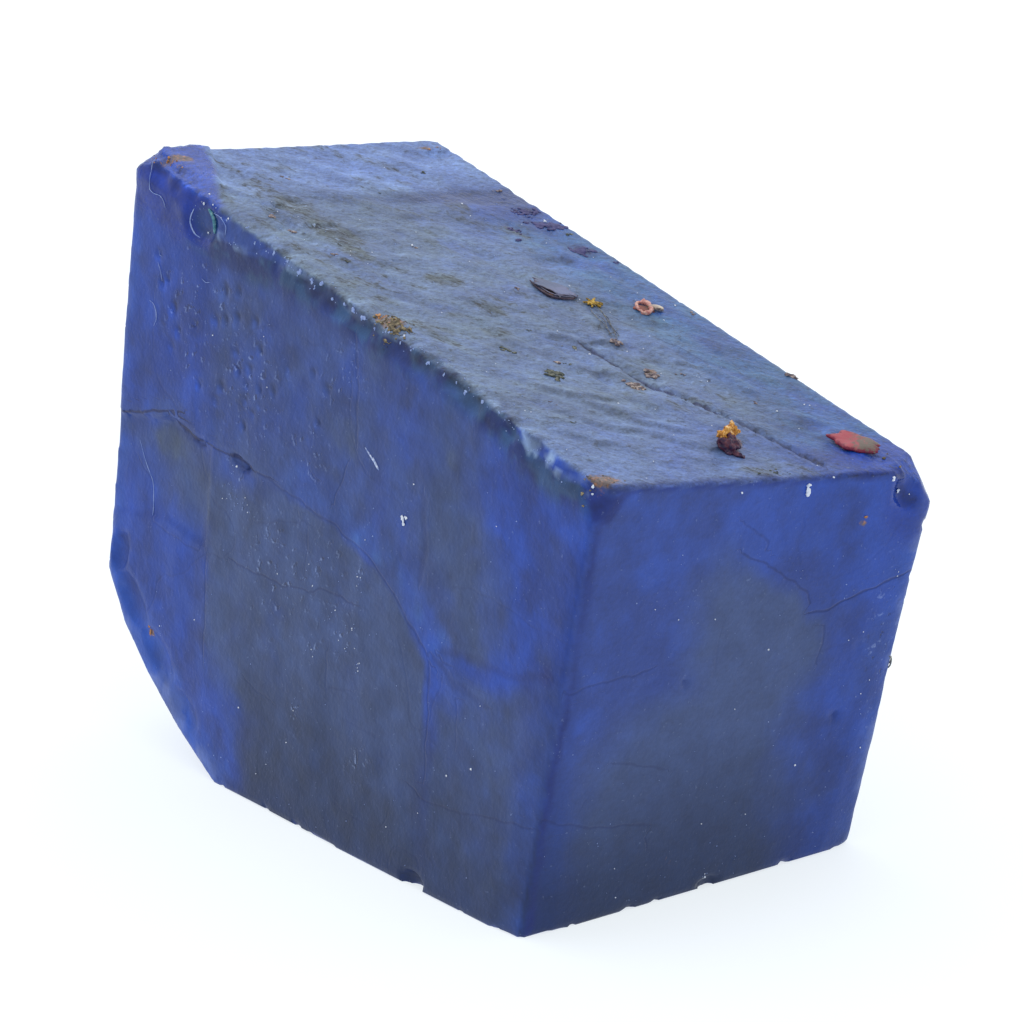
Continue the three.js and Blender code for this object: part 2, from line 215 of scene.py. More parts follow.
FLOOR_HALF = 3.0
sheet = bpy.data.meshes.new("white sheet")
floor_z = box_low.z
sheet.from_pydata(
    [(x * FLOOR_HALF, y * FLOOR_HALF, floor_z) for x, y in ((-1, -1), (1, -1), (1, 1), (-1, 1))],
    [],
    [(0, 1, 2, 3)],
)
floor = bpy.data.objects.new("white_sheet", sheet)
bpy.context.scene.collection.objects.link(floor)
paper, tree, shader = new_material("paper, matt white")
lit_through = {"Emission Color": paint("#f8fdff"), "Emission Strength": 0.72}
matt = {"Base Color": paint("#9aa0a6"), "Roughness": 0.9, "Specular IOR Level": 0.1}
fill(tree, shader, {**matt, **lit_through})
sheet.materials.append(paper)
print("floor at", round(floor_z / MM, 2), "mm")

# %% [markdown]
# ## Rulers for shapes on a face
# Clouds of colour, stains and cracks are drawn with three tools: a smooth step between two
# levels, random soft bumps of a chosen size, and the distance to a line or an outline. They work
# on all the stone's points at once, which is much quicker than one point at a time. Wherever
# bumps are asked for, the first number is their size in millimetres and the next one is the
# seed, which only has to differ from the others.

# %% Soft steps and bumps
NOISE_TABLE = 4096
NOISE_MIDDLE = 500  # cells, so that no place falls below zero
SCATTER = (73856093, 19349663, 83492791)  # large primes, which scatter the cells over the table


def smooth(values, low, high):
    """0 below low and 1 above high, with a soft ramp between. low may be the greater."""
    share = np.clip((values - low) / (high - low), 0, 1)
    return share * share * (3 - 2 * share)


def bumps(points_mm, size_mm, seed):
    """Soft random heights from -1 to 1, whose hills are size_mm apart (one size, or one per axis)."""
    table = np.random.default_rng(seed).uniform(-1, 1, NOISE_TABLE)
    lattice = points_mm / np.asarray(size_mm, float) + NOISE_MIDDLE
    cell = np.floor(lattice).astype(np.int64)
    part = lattice - cell
    part = part * part * (3 - 2 * part)
    total = np.zeros(len(points_mm))
    for corner in itertools.product((0, 1), repeat=3):
        x, y, z = ((cell + corner) * SCATTER).T
        share = np.prod(np.where(corner, part, 1 - part), axis=1)
        total += table[(x ^ y ^ z) % NOISE_TABLE] * share
    return total


print("half way up, a soft step is at", float(smooth(0.5, 0, 1)))


# %% Distances on a face
def on_face(which, points_mm):
    """Each point as (along, up, out) on that face's ruler."""
    return (points_mm - which.origin) @ np.array((which.along, which.up, which.out)).T


def line_offset(flat, line):
    """For flat points: the signed offset from a line of points, and the plain distance to it."""
    line = np.asarray(line, float)
    nearest = np.full(len(flat), 1e9)
    signed = np.full(len(flat), 1e9)
    for start, end in zip(line[:-1], line[1:]):
        run = end - start
        share = np.clip((flat - start) @ run / (run @ run), 0, 1)
        gap = flat - start - share[:, None] * run
        away = np.hypot(gap[:, 0], gap[:, 1])
        side = np.sign(run[0] * gap[:, 1] - run[1] * gap[:, 0])
        closer = away < nearest
        signed = np.where(closer, np.where(side == 0, 1, side) * away, signed)
        nearest = np.where(closer, away, nearest)
    return signed, nearest


def depth_inside(flat, outline):
    """How deep each flat point lies inside a closed outline, in mm, and below zero outside it."""
    outline = np.asarray(outline, float)
    closed = np.vstack((outline, outline[:1]))
    away = line_offset(flat, closed)[1]
    crossed = np.zeros(len(flat), int)
    for (x0, y0), (x1, y1) in zip(closed[:-1], closed[1:]):
        spans = (y0 > flat[:, 1]) != (y1 > flat[:, 1])
        rise = y1 - y0 if y1 != y0 else 1e-9
        crossed += spans & (flat[:, 0] < x0 + (flat[:, 1] - y0) * (x1 - x0) / rise)
    return np.where(crossed % 2 == 1, away, -away)


def oval(flat, along, up, length, width, turn=0.0):
    """1 in the middle of an oval patch, falling to 0 at its edge. turn is in degrees."""
    x, y = flat[:, 0] - along, flat[:, 1] - up
    c, s = math.cos(math.radians(turn)), math.sin(math.radians(turn))
    reach = np.hypot((c * x + s * y) / (length / 2), (c * y - s * x) / (width / 2))
    return smooth(reach, 1, 0)


half_way_out = oval(np.array(((0.5, 0.0),)), 0, 0, 2, 2)[0]
print("half way out, an oval patch is down to", round(float(half_way_out), 2))

# %% [markdown]
# ## The stone's fine skin
# The CAD solid is made of large flat facets. Its copy is remeshed into even cells a quarter of a
# millimetre wide, and pulled back onto the solid, so there are enough points to carry the soft
# waves that a hand saw leaves, the drag marks of the top, pits, and the nibbled edges. The
# crumbs that the solid has on its top are levelled, because they are made as pieces of their own
# further down. The remeshed copy then stands for the CAD node.

# %% Remesh a copy of the solid
CELL = 0.275 * MM


def apply_modifiers(thing):
    """Bake an object's modifiers into its mesh."""
    graph = bpy.context.evaluated_depsgraph_get()
    baked = bpy.data.meshes.new_from_object(thing.evaluated_get(graph))
    thing.modifiers.clear()
    thing.data = baked


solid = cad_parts[NODE]
stone = bpy.data.objects.new("tanzanite_stone", solid.data.copy())
bpy.context.scene.collection.objects.link(stone)
stone.data.materials.clear()
weld = stone.modifiers.new("weld", "WELD")
weld.merge_threshold = 0.001 * MM
cells = stone.modifiers.new("cells", "REMESH")
cells.mode = "VOXEL"
cells.voxel_size = CELL
snap = stone.modifiers.new("snap", "SHRINKWRAP")
snap.target = solid
snap.wrap_method = "NEAREST_SURFACEPOINT"
apply_modifiers(stone)
mesh = stone.data
point_count = len(mesh.vertices)
points = np.empty(point_count * 3)
mesh.vertices.foreach_get("co", points)
points = points.reshape(-1, 3) / MM - origin_mm
along, up, out = on_face(TOP, points).T
SKIN_LEVEL = 0.16  # mm above the plane of the top, and more than that is a crumb
beside_edge_and_knob = (along > 1.5) & ((up < 34) | (along > 6))
on_crumb = (out > SKIN_LEVEL) & beside_edge_and_knob
points -= np.where(on_crumb, out - SKIN_LEVEL, 0)[:, None] * TOP.out
mesh.vertices.foreach_set("co", to_scene(points).astype(np.float32).ravel())
mesh.update()
normals = np.empty(point_count * 3)
mesh.vertex_normals.foreach_get("vector", normals)
normals = normals.reshape(-1, 3)
print("stone has", point_count, "points and", sum(len(p.vertices) - 2 for p in mesh.polygons), "triangles")

# %% [markdown]
# ## Where each point lies
# Each point belongs to the faces whose plane it is close to. A wandering copy of the points, moved
# about by soft noise, is used for everything that is drawn on the faces, so that no stain or
# crack has a straight edge.

# %% Face membership
ON_FACE_DEPTH = (1.3, 0.5)  # mm from the plane, where a face ends and where it is full


def belonging(which):
    """1 for points on that face, 0 away from it."""
    depth = np.abs(on_face(which, points)[:, 2])
    facing = normals @ which.out
    return smooth(depth, *ON_FACE_DEPTH) * smooth(facing, 0.35, 0.75)


on_left, on_near, on_top = (belonging(which) for which in (LEFT, NEAR, TOP))
on_right, on_far, on_cut = (belonging(which) for which in (RIGHT, FAR, CUT))


def wander(amount, size, seed):
    """The points, moved by soft noise of that amount and size in mm."""
    shifts = [bumps(points, size, seed + axis) for axis in range(3)]
    return points + amount * np.array(shifts).T


wobbly = wander(0.5, 2.2, 10) + wander(0.14, 0.6, 20) - points
loose = wander(1.5, 5.0, 30) + wander(0.4, 1.3, 40) - points
left_flat, near_flat, top_flat = (on_face(which, wobbly)[:, :2] for which in (LEFT, NEAR, TOP))
left_loose, near_loose, top_loose = (on_face(which, loose)[:, :2] for which in (LEFT, NEAR, TOP))


def edge_distance(start, end):
    """Distance of each point from the straight edge between two corners, in mm."""
    run = CORNER[end] - CORNER[start]
    share = np.clip((points - CORNER[start]) @ run / (run @ run), 0, 1)
    return np.linalg.norm(points - CORNER[start] - share[:, None] * run, axis=1)


EDGES = {
    "long": ("near left top", "far left top"),
    "near top": ("near left top", "near right top"),
    "upright": ("near left foot", "near left top"),
    "right top": ("near right top", "far right top"),
    "right upright": ("near right foot", "near right top"),
    "left foot": ("near left foot", "far left foot"),
    "near foot": ("near left foot", "near right foot"),
    "left cut": ("far left foot", "cut left"),
    "far left": ("cut left", "far left top"),
    "far top": ("far left top", "far right top"),
    "far right": ("cut right", "far right top"),
    "far ridge": ("cut left", "cut right"),
    "right foot": ("near right foot", "far right foot"),
    "far foot": ("far left foot", "far right foot"),
    "right cut": ("far right foot", "cut right"),
}
to_edge = {name: edge_distance(*ends) for name, ends in EDGES.items()}
any_edge = np.min(list(to_edge.values()), axis=0)
print("points on the top face:", int(on_top.sum()))

# %% [markdown]
# ## Relief
# Real relief, moved along each point's own direction: slow waves of the saw on every face, drag
# marks and low diagonal ridges on the top, small pits in the left face, and chips that nibble the
# edges. Most of it is less than a tenth of a millimetre, and it is what makes the soft light play
# over the faces. Noise for it comes in layers, each half the size of the one before, because
# worn stone has roughness at every scale.

# %% Layered noise
LAYER_FADE, LAYER_GAIN = 0.6, 1.6


def layered(places_mm, size_mm, seed, layers=4):
    """Bumps of several sizes added up, each half as wide as the last: mostly -0.6 to 0.6."""
    sizes = np.asarray(size_mm, float)
    shares = [LAYER_FADE**i for i in range(layers)]
    total = sum(share * bumps(places_mm, sizes / 2**i, seed + i) for i, share in enumerate(shares))
    return LAYER_GAIN * total / sum(shares)


DRAG_TURN = math.radians(-57)  # the way the saw dragged over the top, counted from its near edge
top_run = on_face(TOP, wander(0.5, 6.0, 50))
drag_run = np.array(
    (
        math.cos(DRAG_TURN) * top_run[:, 0] + math.sin(DRAG_TURN) * top_run[:, 1],
        math.cos(DRAG_TURN) * top_run[:, 1] - math.sin(DRAG_TURN) * top_run[:, 0],
        top_run[:, 2],
    )
).T
left_run = on_face(LEFT, points)
top_plain, left_plain, near_plain = (on_face(which, points)[:, :2] for which in (TOP, LEFT, NEAR))
print("layered noise spreads by", round(float(layered(points, 2.0, 1).std()), 2))

# %% Relief
LEFT_PITS = (  # how far along and up, and how wide
    (37.9, 29.7, 0.45), (37.4, 28.1, 0.4), (36.1, 26.9, 0.65), (31.1, 29.0, 0.7), (29.7, 29.2, 0.4),
    (31.8, 27.1, 0.55), (30.8, 27.3, 0.5), (29.7, 27.7, 0.55), (27.9, 27.9, 0.5), (36.9, 28.4, 0.35),
    (35.6, 25.7, 0.45), (36.2, 24.6, 0.4), (29.6, 25.8, 0.45), (33.8, 26.4, 0.3), (29.2, 24.7, 0.45),
    (28.2, 25.1, 0.4), (27.3, 26.4, 0.4), (24.4, 25.9, 0.4), (30.8, 23.4, 0.45), (31.3, 22.5, 0.4),
    (33.1, 23.0, 0.4), (28.3, 24.1, 0.35), (27.0, 24.2, 0.35), (28.3, 23.2, 0.35), (26.9, 23.2, 0.3),
    (27.5, 22.6, 0.3), (28.4, 21.7, 0.4), (25.7, 24.3, 0.35), (22.0, 26.2, 0.4), (20.6, 25.6, 0.45),
    (21.3, 23.6, 0.3),
)
PIT_DEPTH = 0.14
TOP_RIDGES = (  # each a line of places
    ((4.0, 9.8), (5.6, 8.0), (7.3, 6.5)), ((6.2, 10.7), (7.6, 9.2), (9.2, 8.3)),
    ((8.0, 5.7), (9.2, 4.7), (10.5, 3.9)), ((5.0, 12.0), (6.6, 10.9), (8.8, 10.3)),
    ((8.6, 7.7), (10.2, 6.2)), ((3.0, 7.0), (4.4, 5.4)), ((9.5, 14.5), (11.2, 13.4), (12.0, 12.0)),
    ((16.6, 15.0), (18.2, 13.0), (18.9, 10.8)), ((10.0, 19.0), (12.0, 17.8), (13.8, 17.4)),
)
TOP_CRACK = (
    (11.7, 16.9), (12.2, 14.3), (12.5, 12.4), (12.9, 11.2), (13.5, 9.4), (14.4, 7.5), (15.1, 5.7),
    (15.7, 3.6), (16.5, 1.2),
)
calm = smooth(np.minimum(to_edge["right top"], to_edge["far top"]), 0.2, 1.6)
relief = calm * (0.05 * bumps(points, 6.0, 1) + 0.012 * bumps(points, 0.8, 3))
relief += (0.3 + 0.7 * calm) * 0.02 * bumps(points, 2.0, 2)
drag = 0.06 * bumps(drag_run, (7.0, 1.8, 9.0), 4) + 0.018 * bumps(drag_run, (2.4, 0.8, 9.0), 5)
drag += 0.04 * bumps(top_run, (4.0, 2.4, 9.0), 11) + 0.035 * layered(drag_run, (1.9, 0.95, 9.0), 12, 2)
dents = -0.1 * smooth(bumps(points, 2.2, 6), 0.45, 0.9)
relief += on_top * calm * (drag + dents)
for ridge in TOP_RIDGES:
    side, gap = line_offset(top_flat, ridge)
    relief += on_top * (0.07 * smooth(gap, 0.75, 0.0) - 0.04 * smooth(np.abs(side + 0.75), 0.6, 0.0))
unsteady = top_plain + 0.08 * np.array([bumps(points, 0.9, seed) for seed in (14, 15)]).T
crack_gap = line_offset(unsteady, TOP_CRACK)[1]
relief += on_top * (0.04 * smooth(crack_gap, 0.9, 0.4) - 0.2 * smooth(crack_gap, 0.3, 0.0))
relief += on_left * (0.03 * bumps(left_run, (1.8, 7.0, 9.0), 7) + 0.02 * layered(points, 1.4, 16, 3))
for along, up, across in LEFT_PITS:
    relief -= on_left * PIT_DEPTH * oval(left_plain, along, up, 1.5 * across, 2.0 * across)
print("relief runs from", round(relief.min(), 2), "to", round(relief.max(), 2), "mm")

# %% [markdown]
# ## Edges, corner and chip
# A sawn edge is a string of small bites. They are deepest on the long edge, where the stone was
# knocked about. Two places need more: an oval chip was struck off below the knob, and the near
# right corner was broken off and then worn round, so it bulges a little further than the flat
# facet of the CAD solid, with a shell-shaped ridge across it.

# %% Edges, corner and chip
CHIP = (33.9, 32.35, 3.6, 2.5)  # along and up the left face, length and width
BROKEN_CORNER = CORNER["near right top"] + (-0.9, 0.2, -1.6)
CORNER_RIDGE = ((24.0, 23.0), (24.0, 22.4), (24.2, 21.8), (24.7, 21.2))
nibble = smooth(bumps(points, 1.1, 8), 0.0, 0.75) + 0.6 * smooth(bumps(points, 0.55, 9), 0.1, 0.8)
sharp = 1 - 0.85 * smooth(np.minimum(to_edge["right top"], to_edge["far top"]), 1.2, 0.6)
relief -= 0.03 * nibble * sharp * smooth(any_edge, 0.9, 0.25)
relief -= 0.14 * nibble * smooth(to_edge["long"], 1.5, 0.5)
chip = oval(left_plain, *CHIP) * smooth(on_left + on_top, 0.0, 0.3)
relief -= 0.05 * smooth(chip, 0.0, 0.5)
to_broken = np.linalg.norm(points - BROKEN_CORNER, axis=1)
rounded = smooth(to_broken, 3.0, 0.6) * smooth(to_edge["right upright"], 2.4, 0.6)
relief += 0.08 * rounded
ridge_side, ridge_gap = line_offset(near_plain, CORNER_RIDGE)
relief += 0.1 * smooth(ridge_gap, 0.35, 0.0) * smooth(to_broken, 3.6, 2.6)
relief -= 0.1 * smooth(np.abs(ridge_side + 0.6), 0.55, 0.0) * smooth(to_broken, 2.6, 1.6)
knob_place = smooth(to_edge["long"], 2.4, 0.8) * smooth(top_run[:, 1], 36.5, 40.0)
relief += knob_place * (0.1 * bumps(points, 0.9, 13) + 0.05)
foot_hold = smooth(points[:, 2], 0.0, 0.25)
flat_normals = normals.copy()
points = points + normals * (relief * foot_hold)[:, None]
mesh.vertices.foreach_set("co", to_scene(points).astype(np.float32).ravel())
mesh.update()
mesh.shade_smooth()
mesh.vertex_normals.foreach_get("vector", normals_now := np.empty(point_count * 3))
tilt = normals_now.reshape(-1, 3) - flat_normals
print("points moved by up to", round(float(np.abs(relief).max()), 2), "mm")

# %% [markdown]
# ## Clouds of colour
# The blue of tanzanite is strongest where the light passes through sound crystal. Where the
# inside is full of tiny healed cracks it looks grey and milky, and a cloud like that lies in the
# lower half of the left face and of the near end. Each kind of mark is kept as one number per
# point, from 0 to 1, and the material reads it by name. Painting on the points like this is
# exact, quick to render, and needs no image.

# %% The cloud in the left face
FACES = {
    "left": (LEFT, on_left), "near": (NEAR, on_near), "top": (TOP, on_top),
    "right": (RIGHT, on_right), "far": (FAR, on_far), "cut": (CUT, on_cut),
}


marks = []


def keep(name, values):
    """Store one number per point under that name."""
    marks.append(name)
    kept = mesh.attributes.new(name, "FLOAT", "POINT")
    kept.data.foreach_set("value", np.asarray(values, np.float32))


LEFT_CLOUD = (
    (42.5, 19.4), (37.0, 20.2), (34.0, 19.7), (29.1, 19.7), (25.2, 19.3), (22.8, 18.8), (19.0, 18.2),
    (15.4, 17.2), (12.9, 15.8), (10.7, 14.0), (9.5, 13.0), (9.3, 11.3), (8.9, 6.3), (8.4, -1.0),
    (25.6, -1.0), (27.4, 4.0), (30.4, 7.2), (31.0, 9.4), (31.0, 13.5), (34.2, 15.3), (37.2, 16.6),
    (39.3, 18.2),
)
LEFT_DULL = (  # along, up, width, height, and how much cloud it adds
    (17.2, 24.5, 3.0, 9.0, 0.3), (9.0, 22.0, 5.6, 11.0, 0.45), (5.4, 17.0, 5.6, 8.0, 0.5),
    (38.0, 20.2, 6.0, 2.6, 0.6), (27.5, 22.0, 8.0, 5.0, -0.05), (14.0, 27.5, 2.4, 4.0, -0.25),
    (21.5, 26.0, 4.0, 6.0, 0.3), (1.6, 21.5, 4.0, 9.0, -0.3), (12.4, 19.0, 1.6, 3.2, -0.2),
    (36.5, 27.0, 6.0, 9.0, -0.25), (4.0, 9.0, 5.0, 8.0, 0.2), (2.6, 2.4, 5.0, 4.0, -0.5),
)
BRIGHT_STREAK = (
    (22.8, 19.9), (19.0, 19.3), (15.6, 18.4), (12.8, 17.0), (10.6, 15.4), (8.4, 14.0), (7.6, 11.5),
)
left_x, left_y = left_loose.T
left_crisp = smooth(depth_inside(left_flat, LEFT_CLOUD), -0.15, 0.45)
left_soft = smooth(depth_inside(left_loose, LEFT_CLOUD), -1.8, 2.4)
along_boundary = smooth(left_plain[:, 1], 7.0, 10.0) * smooth(left_plain[:, 0], 27.0, 23.0)
from_middle = np.abs(left_plain - (31, 10.5))
along_upright = smooth(from_middle[:, 0], 2.4, 1.0) * smooth(from_middle[:, 1], 3.6, 2.2)
is_crisp = np.maximum(0.85 * along_boundary, 0.55 * along_upright)
left_cloud = is_crisp * left_crisp + (1 - is_crisp) * left_soft
dull = 0.5 + 0.1 * layered(left_run, (2.2, 7.0, 9.0), 58, 3) + 0.26 * layered(points, 2.8, 56, 5)
dull *= smooth(left_x, 34.5, 30.5) * smooth(left_x, 4.0, 7.0)
for along, up, across, tall, share in LEFT_DULL:
    dull += share * oval(left_loose, along, up, 1.5 * across, 1.5 * tall)
dull *= smooth(left_y, 14.0, 15.5)
streak = smooth(line_offset(left_flat, BRIGHT_STREAK)[1], 1.7, 0.5)
faint = 0.85 * smooth(left_y + 0.06 * left_x, 14.2, 12.4) * smooth(left_x, 9.5, 7.5)
faint *= 1 - 0.5 * smooth(left_x, 2.6, -0.6)
left_cloud = np.maximum(left_cloud, np.clip(np.maximum(dull, faint), 0, 1) * (1 - 0.5 * streak))
left_cloud += 0.25 * oval(left_loose, 13.0, 12.0, 8.0, 9.0) - 0.25 * oval(left_loose, 26.5, 3.6, 6.0, 6.0)
print("share of the left face in the cloud:", round(float((on_left * left_cloud).sum() / on_left.sum()), 2))

# %% The cloud in the near end, the blue between, and painted highlights
NEAR_CLOUD = (
    (11.6, 20.3), (13.2, 19.6), (14.7, 18.9), (16.0, 18.0), (17.5, 17.2), (18.2, 15.6), (19.4, 15.2),
    (19.8, 12.9), (18.9, 10.6), (18.0, 8.7), (18.0, 5.1), (17.4, 1.8), (16.6, -2.0), (3.0, -2.0),
    (2.6, 11.0), (6.0, 12.6), (9.6, 13.0), (9.0, 15.0), (9.2, 16.8), (9.6, 18.6), (10.4, 19.6),
)
near_crisp = smooth(depth_inside(near_flat, NEAR_CLOUD), -0.15, 1.1)
near_soft = smooth(depth_inside(near_loose, NEAR_CLOUD), -2.2, 2.6)
is_crisp = 0.8 * smooth(near_flat[:, 0], 12.0, 14.5) * smooth(near_flat[:, 1], 11.5, 13.0)
near_cloud = is_crisp * near_crisp + (1 - is_crisp) * near_soft
near_cloud *= 1 - 0.35 * smooth(near_loose[:, 0], 4.0, 0.5)
near_cloud += 0.16 * oval(near_loose, 5.0, 12.5, 7.0, 6.0) + 0.25 * oval(near_loose, 22.9, 12.2, 3.4, 7.0)
cloud = on_left * left_cloud + on_near * near_cloud
cloud += (on_left + 0.5 * on_near) * (0.16 * layered(points, 2.0, 59) + 0.1 * bumps(points, 0.7, 57))
keep("cloud", np.clip(cloud, 0, 1))
light_patches = sum(
    oval(left_flat, along, up, 1.8, 1.5)
    for along, up in ((16.9, 17.9), (14.8, 17.5), (10.9, 15.4), (8.4, 14.7), (12.6, 16.6))
)
streak_share = np.clip(0.22 * streak + 0.4 * light_patches, 0, 1) * (1 + layered(points, 1.2, 69))
keep("streak", on_left * np.clip(streak_share, 0, 1) * smooth(left_plain[:, 1], 11.5, 14.0))
keep("blue", smooth(layered(points, 3.4, 71, 5), -0.35, 0.35))
# painted highlight: the upper half of the near end is painted lighter, and pale scallops are painted along
# the left cut and the right upright edge
upper_half = smooth(near_loose[:, 1], 1.0, 13.0)
painted_highlight = on_near * (0.04 + 0.07 * smooth(near_loose[:, 0], 22.0, 8.0)) * upper_half
highlight_scallops = smooth(layered(points, 1.4, 72, 3), 0.05, 0.45)
painted_highlight += on_left * smooth(to_edge["left cut"], 1.4, 0.3) * highlight_scallops * 0.45
painted_highlight += on_near * smooth(to_edge["right upright"], 1.1, 0.2) * highlight_scallops * 0.45
keep("painted_highlight", np.clip(painted_highlight, 0, 1))
print("share of the near end in the cloud:", round(float((on_near * near_cloud).sum() / on_near.sum()), 2))

# %% [markdown]
# ## Shade, mottling and painted slope light
# Toward the foot the stone grows dark, since little light reaches it from below. Two numbers
# carry the fine unevenness. Mottling makes the blue come and go by a tenth, and on the left face
# it also holds painted shade in the pits and painted light on their lower lips. The other number
# is painted light and shade on the slopes of the relief: slopes that look up and away are painted
# lighter and the others darker, so each little ridge has a painted lit side and a painted dark side.

# %% Shade, mottling and painted slope light
height = points[:, 2]
low = smooth(height + 2.0 * bumps(points, 6.0, 60), 12.0, 0.0)
low_left = on_left * smooth(left_x, 28.5, 24.5) * (0.55 + 0.45 * smooth(left_x, 0.5, 6.0))
low_near = on_near * (0.5 + 0.5 * smooth(near_loose[:, 0], 19.0, 15.0))
keep("low", low * np.clip(low_left + low_near, 0, 1))
mottle = 0.24 * layered(points, 1.2, 73) + 0.03 * layered(left_run, (0.9, 5.0, 9.0), 74, 3) * on_left
# painted shade in each pit of the left face, and painted light on its lower lip
painted_pit_light_and_shade = np.zeros(point_count)
for along, up, across in LEFT_PITS:
    lip_place = (along + 0.5 * across, up - 0.45 * across, 1.1 * across, 2.0 * across)
    painted_pit_light_and_shade += 0.9 * oval(left_plain, *lip_place, 20)
    painted_pit_light_and_shade -= 0.8 * oval(left_plain, along, up, 1.2 * across, 1.8 * across)
# the mottle mark also carries the painted shade and the painted lit lips of the pits
keep("mottle", 1 + mottle * (0.55 + 0.7 * on_left) + on_left * np.clip(painted_pit_light_and_shade, -0.45, 0.35))
# painted light and shade: slopes that face these ways are painted lighter, the others darker
TOP_LIGHT_WAY, SIDE_LIGHT_WAY = np.array((0.1, 0.75, 0.65)), np.array((0.35, 0.1, 0.95))
top_slope = on_top * (tilt @ TOP_LIGHT_WAY)
side_slope = (on_left + on_near) * (tilt @ SIDE_LIGHT_WAY)
keep("painted_slope_light", 1 + np.clip(2.4 * top_slope + 1.6 * side_slope, -0.5, 0.6))
print("slopes of the top spread by", round(float(top_slope[on_top > 0.9].std()), 3))

# %% [markdown]
# ## Dust, painted sheen and stains on the top
# The top is the dirtiest face. Fine grey dust dulls its left half, and the same layer also paints
# the grey sheen of the top. Toward the far end it is a painted reflection of the pale sky of the
# room instead, so it is lighter and bluer there. Olive stains, the leftovers of clay, run in a row
# down its left side.

# %% Stains
STAINS = (  # face, along, up, width, length, turn in degrees, and strength
    ("top", 3.8, 39.9, 2.4, 3.2, 30, 0.6), ("top", 4.6, 36.8, 3.2, 5.2, 12, 0.75),
    ("top", 5.2, 32.8, 3.4, 5.4, 6, 0.9), ("top", 5.0, 29.9, 2.2, 2.6, 0, 0.8),
    ("top", 2.6, 35.4, 1.4, 3.4, 8, 0.5), ("top", 8.4, 26.2, 2.2, 2.9, 30, 1.0),
    ("top", 8.7, 22.3, 1.5, 3.6, 6, 0.8), ("top", 6.7, 19.0, 1.3, 2.2, 20, 0.75),
    ("top", 16.2, 36.3, 1.8, 2.2, 30, 0.6), ("top", 18.0, 32.6, 1.2, 2.4, 30, 0.7),
    ("top", 12.0, 0.8, 2.6, 1.4, 0, 0.7), ("top", 11.4, 35.4, 1.4, 3.4, 20, 0.3),
    ("top", 1.4, 28.6, 1.2, 3.0, 10, 0.4), ("top", 12.6, 28.5, 2.4, 1.2, 0, 0.25),
    ("left", 18.6, 23.3, 3.2, 3.2, 0, 0.3), ("left", 36.2, 19.0, 5.0, 2.2, -4, 0.35),
    ("left", 9.0, 24.4, 1.4, 1.2, 0, 0.35), ("left", 28.4, 28.4, 2.6, 3.4, 0, 0.16),
)
stain = np.zeros(point_count)
for name, along, up, across, length, turn, share in STAINS:
    which, member = FACES[name]
    patch = oval(on_face(which, wobbly)[:, :2], along, up, 1.25 * across, 1.25 * length, turn)
    stain = np.maximum(stain, member * share * smooth(patch, 0, 0.6))
stain *= 1 + 0.75 * layered(np.where(on_top[:, None] > 0.5, drag_run, points), (1.5, 0.6, 0.9), 75, 3)
top_x, top_y = top_loose.T
blotches = smooth(layered(drag_run, (1.5, 0.75, 9.0), 79, 2), 0.3, 0.62) * smooth(top_x, 21.0, 15.0)
blotches *= smooth(layered(points, 6.0, 83, 2), -0.3, 0.25)
stain = np.maximum(stain, 0.55 * on_top * blotches)
keep("stain", np.clip(stain, 0, 1))
print("share of the top under stains:", round(float((on_top * stain).sum() / on_top.sum()), 2))

# %% Dust, painted sheen and painted sky reflection
far_end = smooth(top_y, 36.0, 41.0)
left_half = smooth(top_x, 20.0, 14.0)
dust = 0.09 + 0.47 * left_half + 0.08 * smooth(top_x, 7.0, 1.0) - 0.12 * smooth(top_y, 9.0, 4.0)
damp = on_top * 0.34 * smooth(top_x, 14.0, 19.0) * smooth(top_y, 38.0, 30.0) * smooth(top_y, 3.0, 6.0)
keep("damp", damp * (1 + 0.7 * layered(points, 3.0, 84) + 0.4 * layered(drag_run, (2.4, 0.8, 9.0), 85, 3)))
# at the far end the layer is a painted reflection of the pale sky, lighter and bluer
dust = np.maximum(dust, (0.47 + 0.13 * smooth(top_x, 9.0, 16.0)) * far_end)
painted_sky_reflection = np.maximum(far_end, 0.5 * smooth(top_x, 15.0, 19.0) * smooth(top_y, 15.0, 23.0))
painted_sky_reflection = np.maximum(painted_sky_reflection, 0.5 * smooth(top_y, 10.0, 5.0) * smooth(top_x, 17.0, 10.0))
dust *= 1 + 0.24 * layered(points, 3.2, 63) + 0.14 * layered(drag_run, (2.0, 0.9, 9.0), 64, 3)
# the dust mark holds real dust and a painted sheen together
keep("dust", np.clip(on_top * dust, 0, 1))
keep("painted_sky_reflection", np.clip(painted_sky_reflection + 0.2 * bumps(points, 3.0, 61), 0, 1))
PLUM = (  # along, up, length, width, turn
    (21.2, 35.7, 2.2, 1.3, -35), (21.2, 33.8, 2.4, 1.1, -31), (21.1, 30.2, 2.2, 1.2, -50),
    (18.3, 33.0, 1.8, 1.0, -60),
)
plum = sum(
    oval(top_flat, along, up, 1.2 * length, 1.2 * across, turn) for along, up, length, across, turn in PLUM
)
keep("plum", np.clip(on_top * plum * (1 + layered(points, 0.8, 86, 3)), 0, 1))
keep("top side", smooth(on_top, 0.2, 0.8))
print("share of the top under dust:", round(float((on_top * dust).sum() / on_top.sum()), 2))

# %% [markdown]
# ## The long edge, the knob and the other edges
# The long edge is the most telling line of this stone. A row of pale bruises with painted glints
# runs along it, wandering from the side onto the top, and below the row the stone is dark and
# shiny, because there it was rubbed clean. At its far end sits the knob of deep blue. The distance
# across the edge is counted up onto the top and down the side, and the row follows it by a short table.

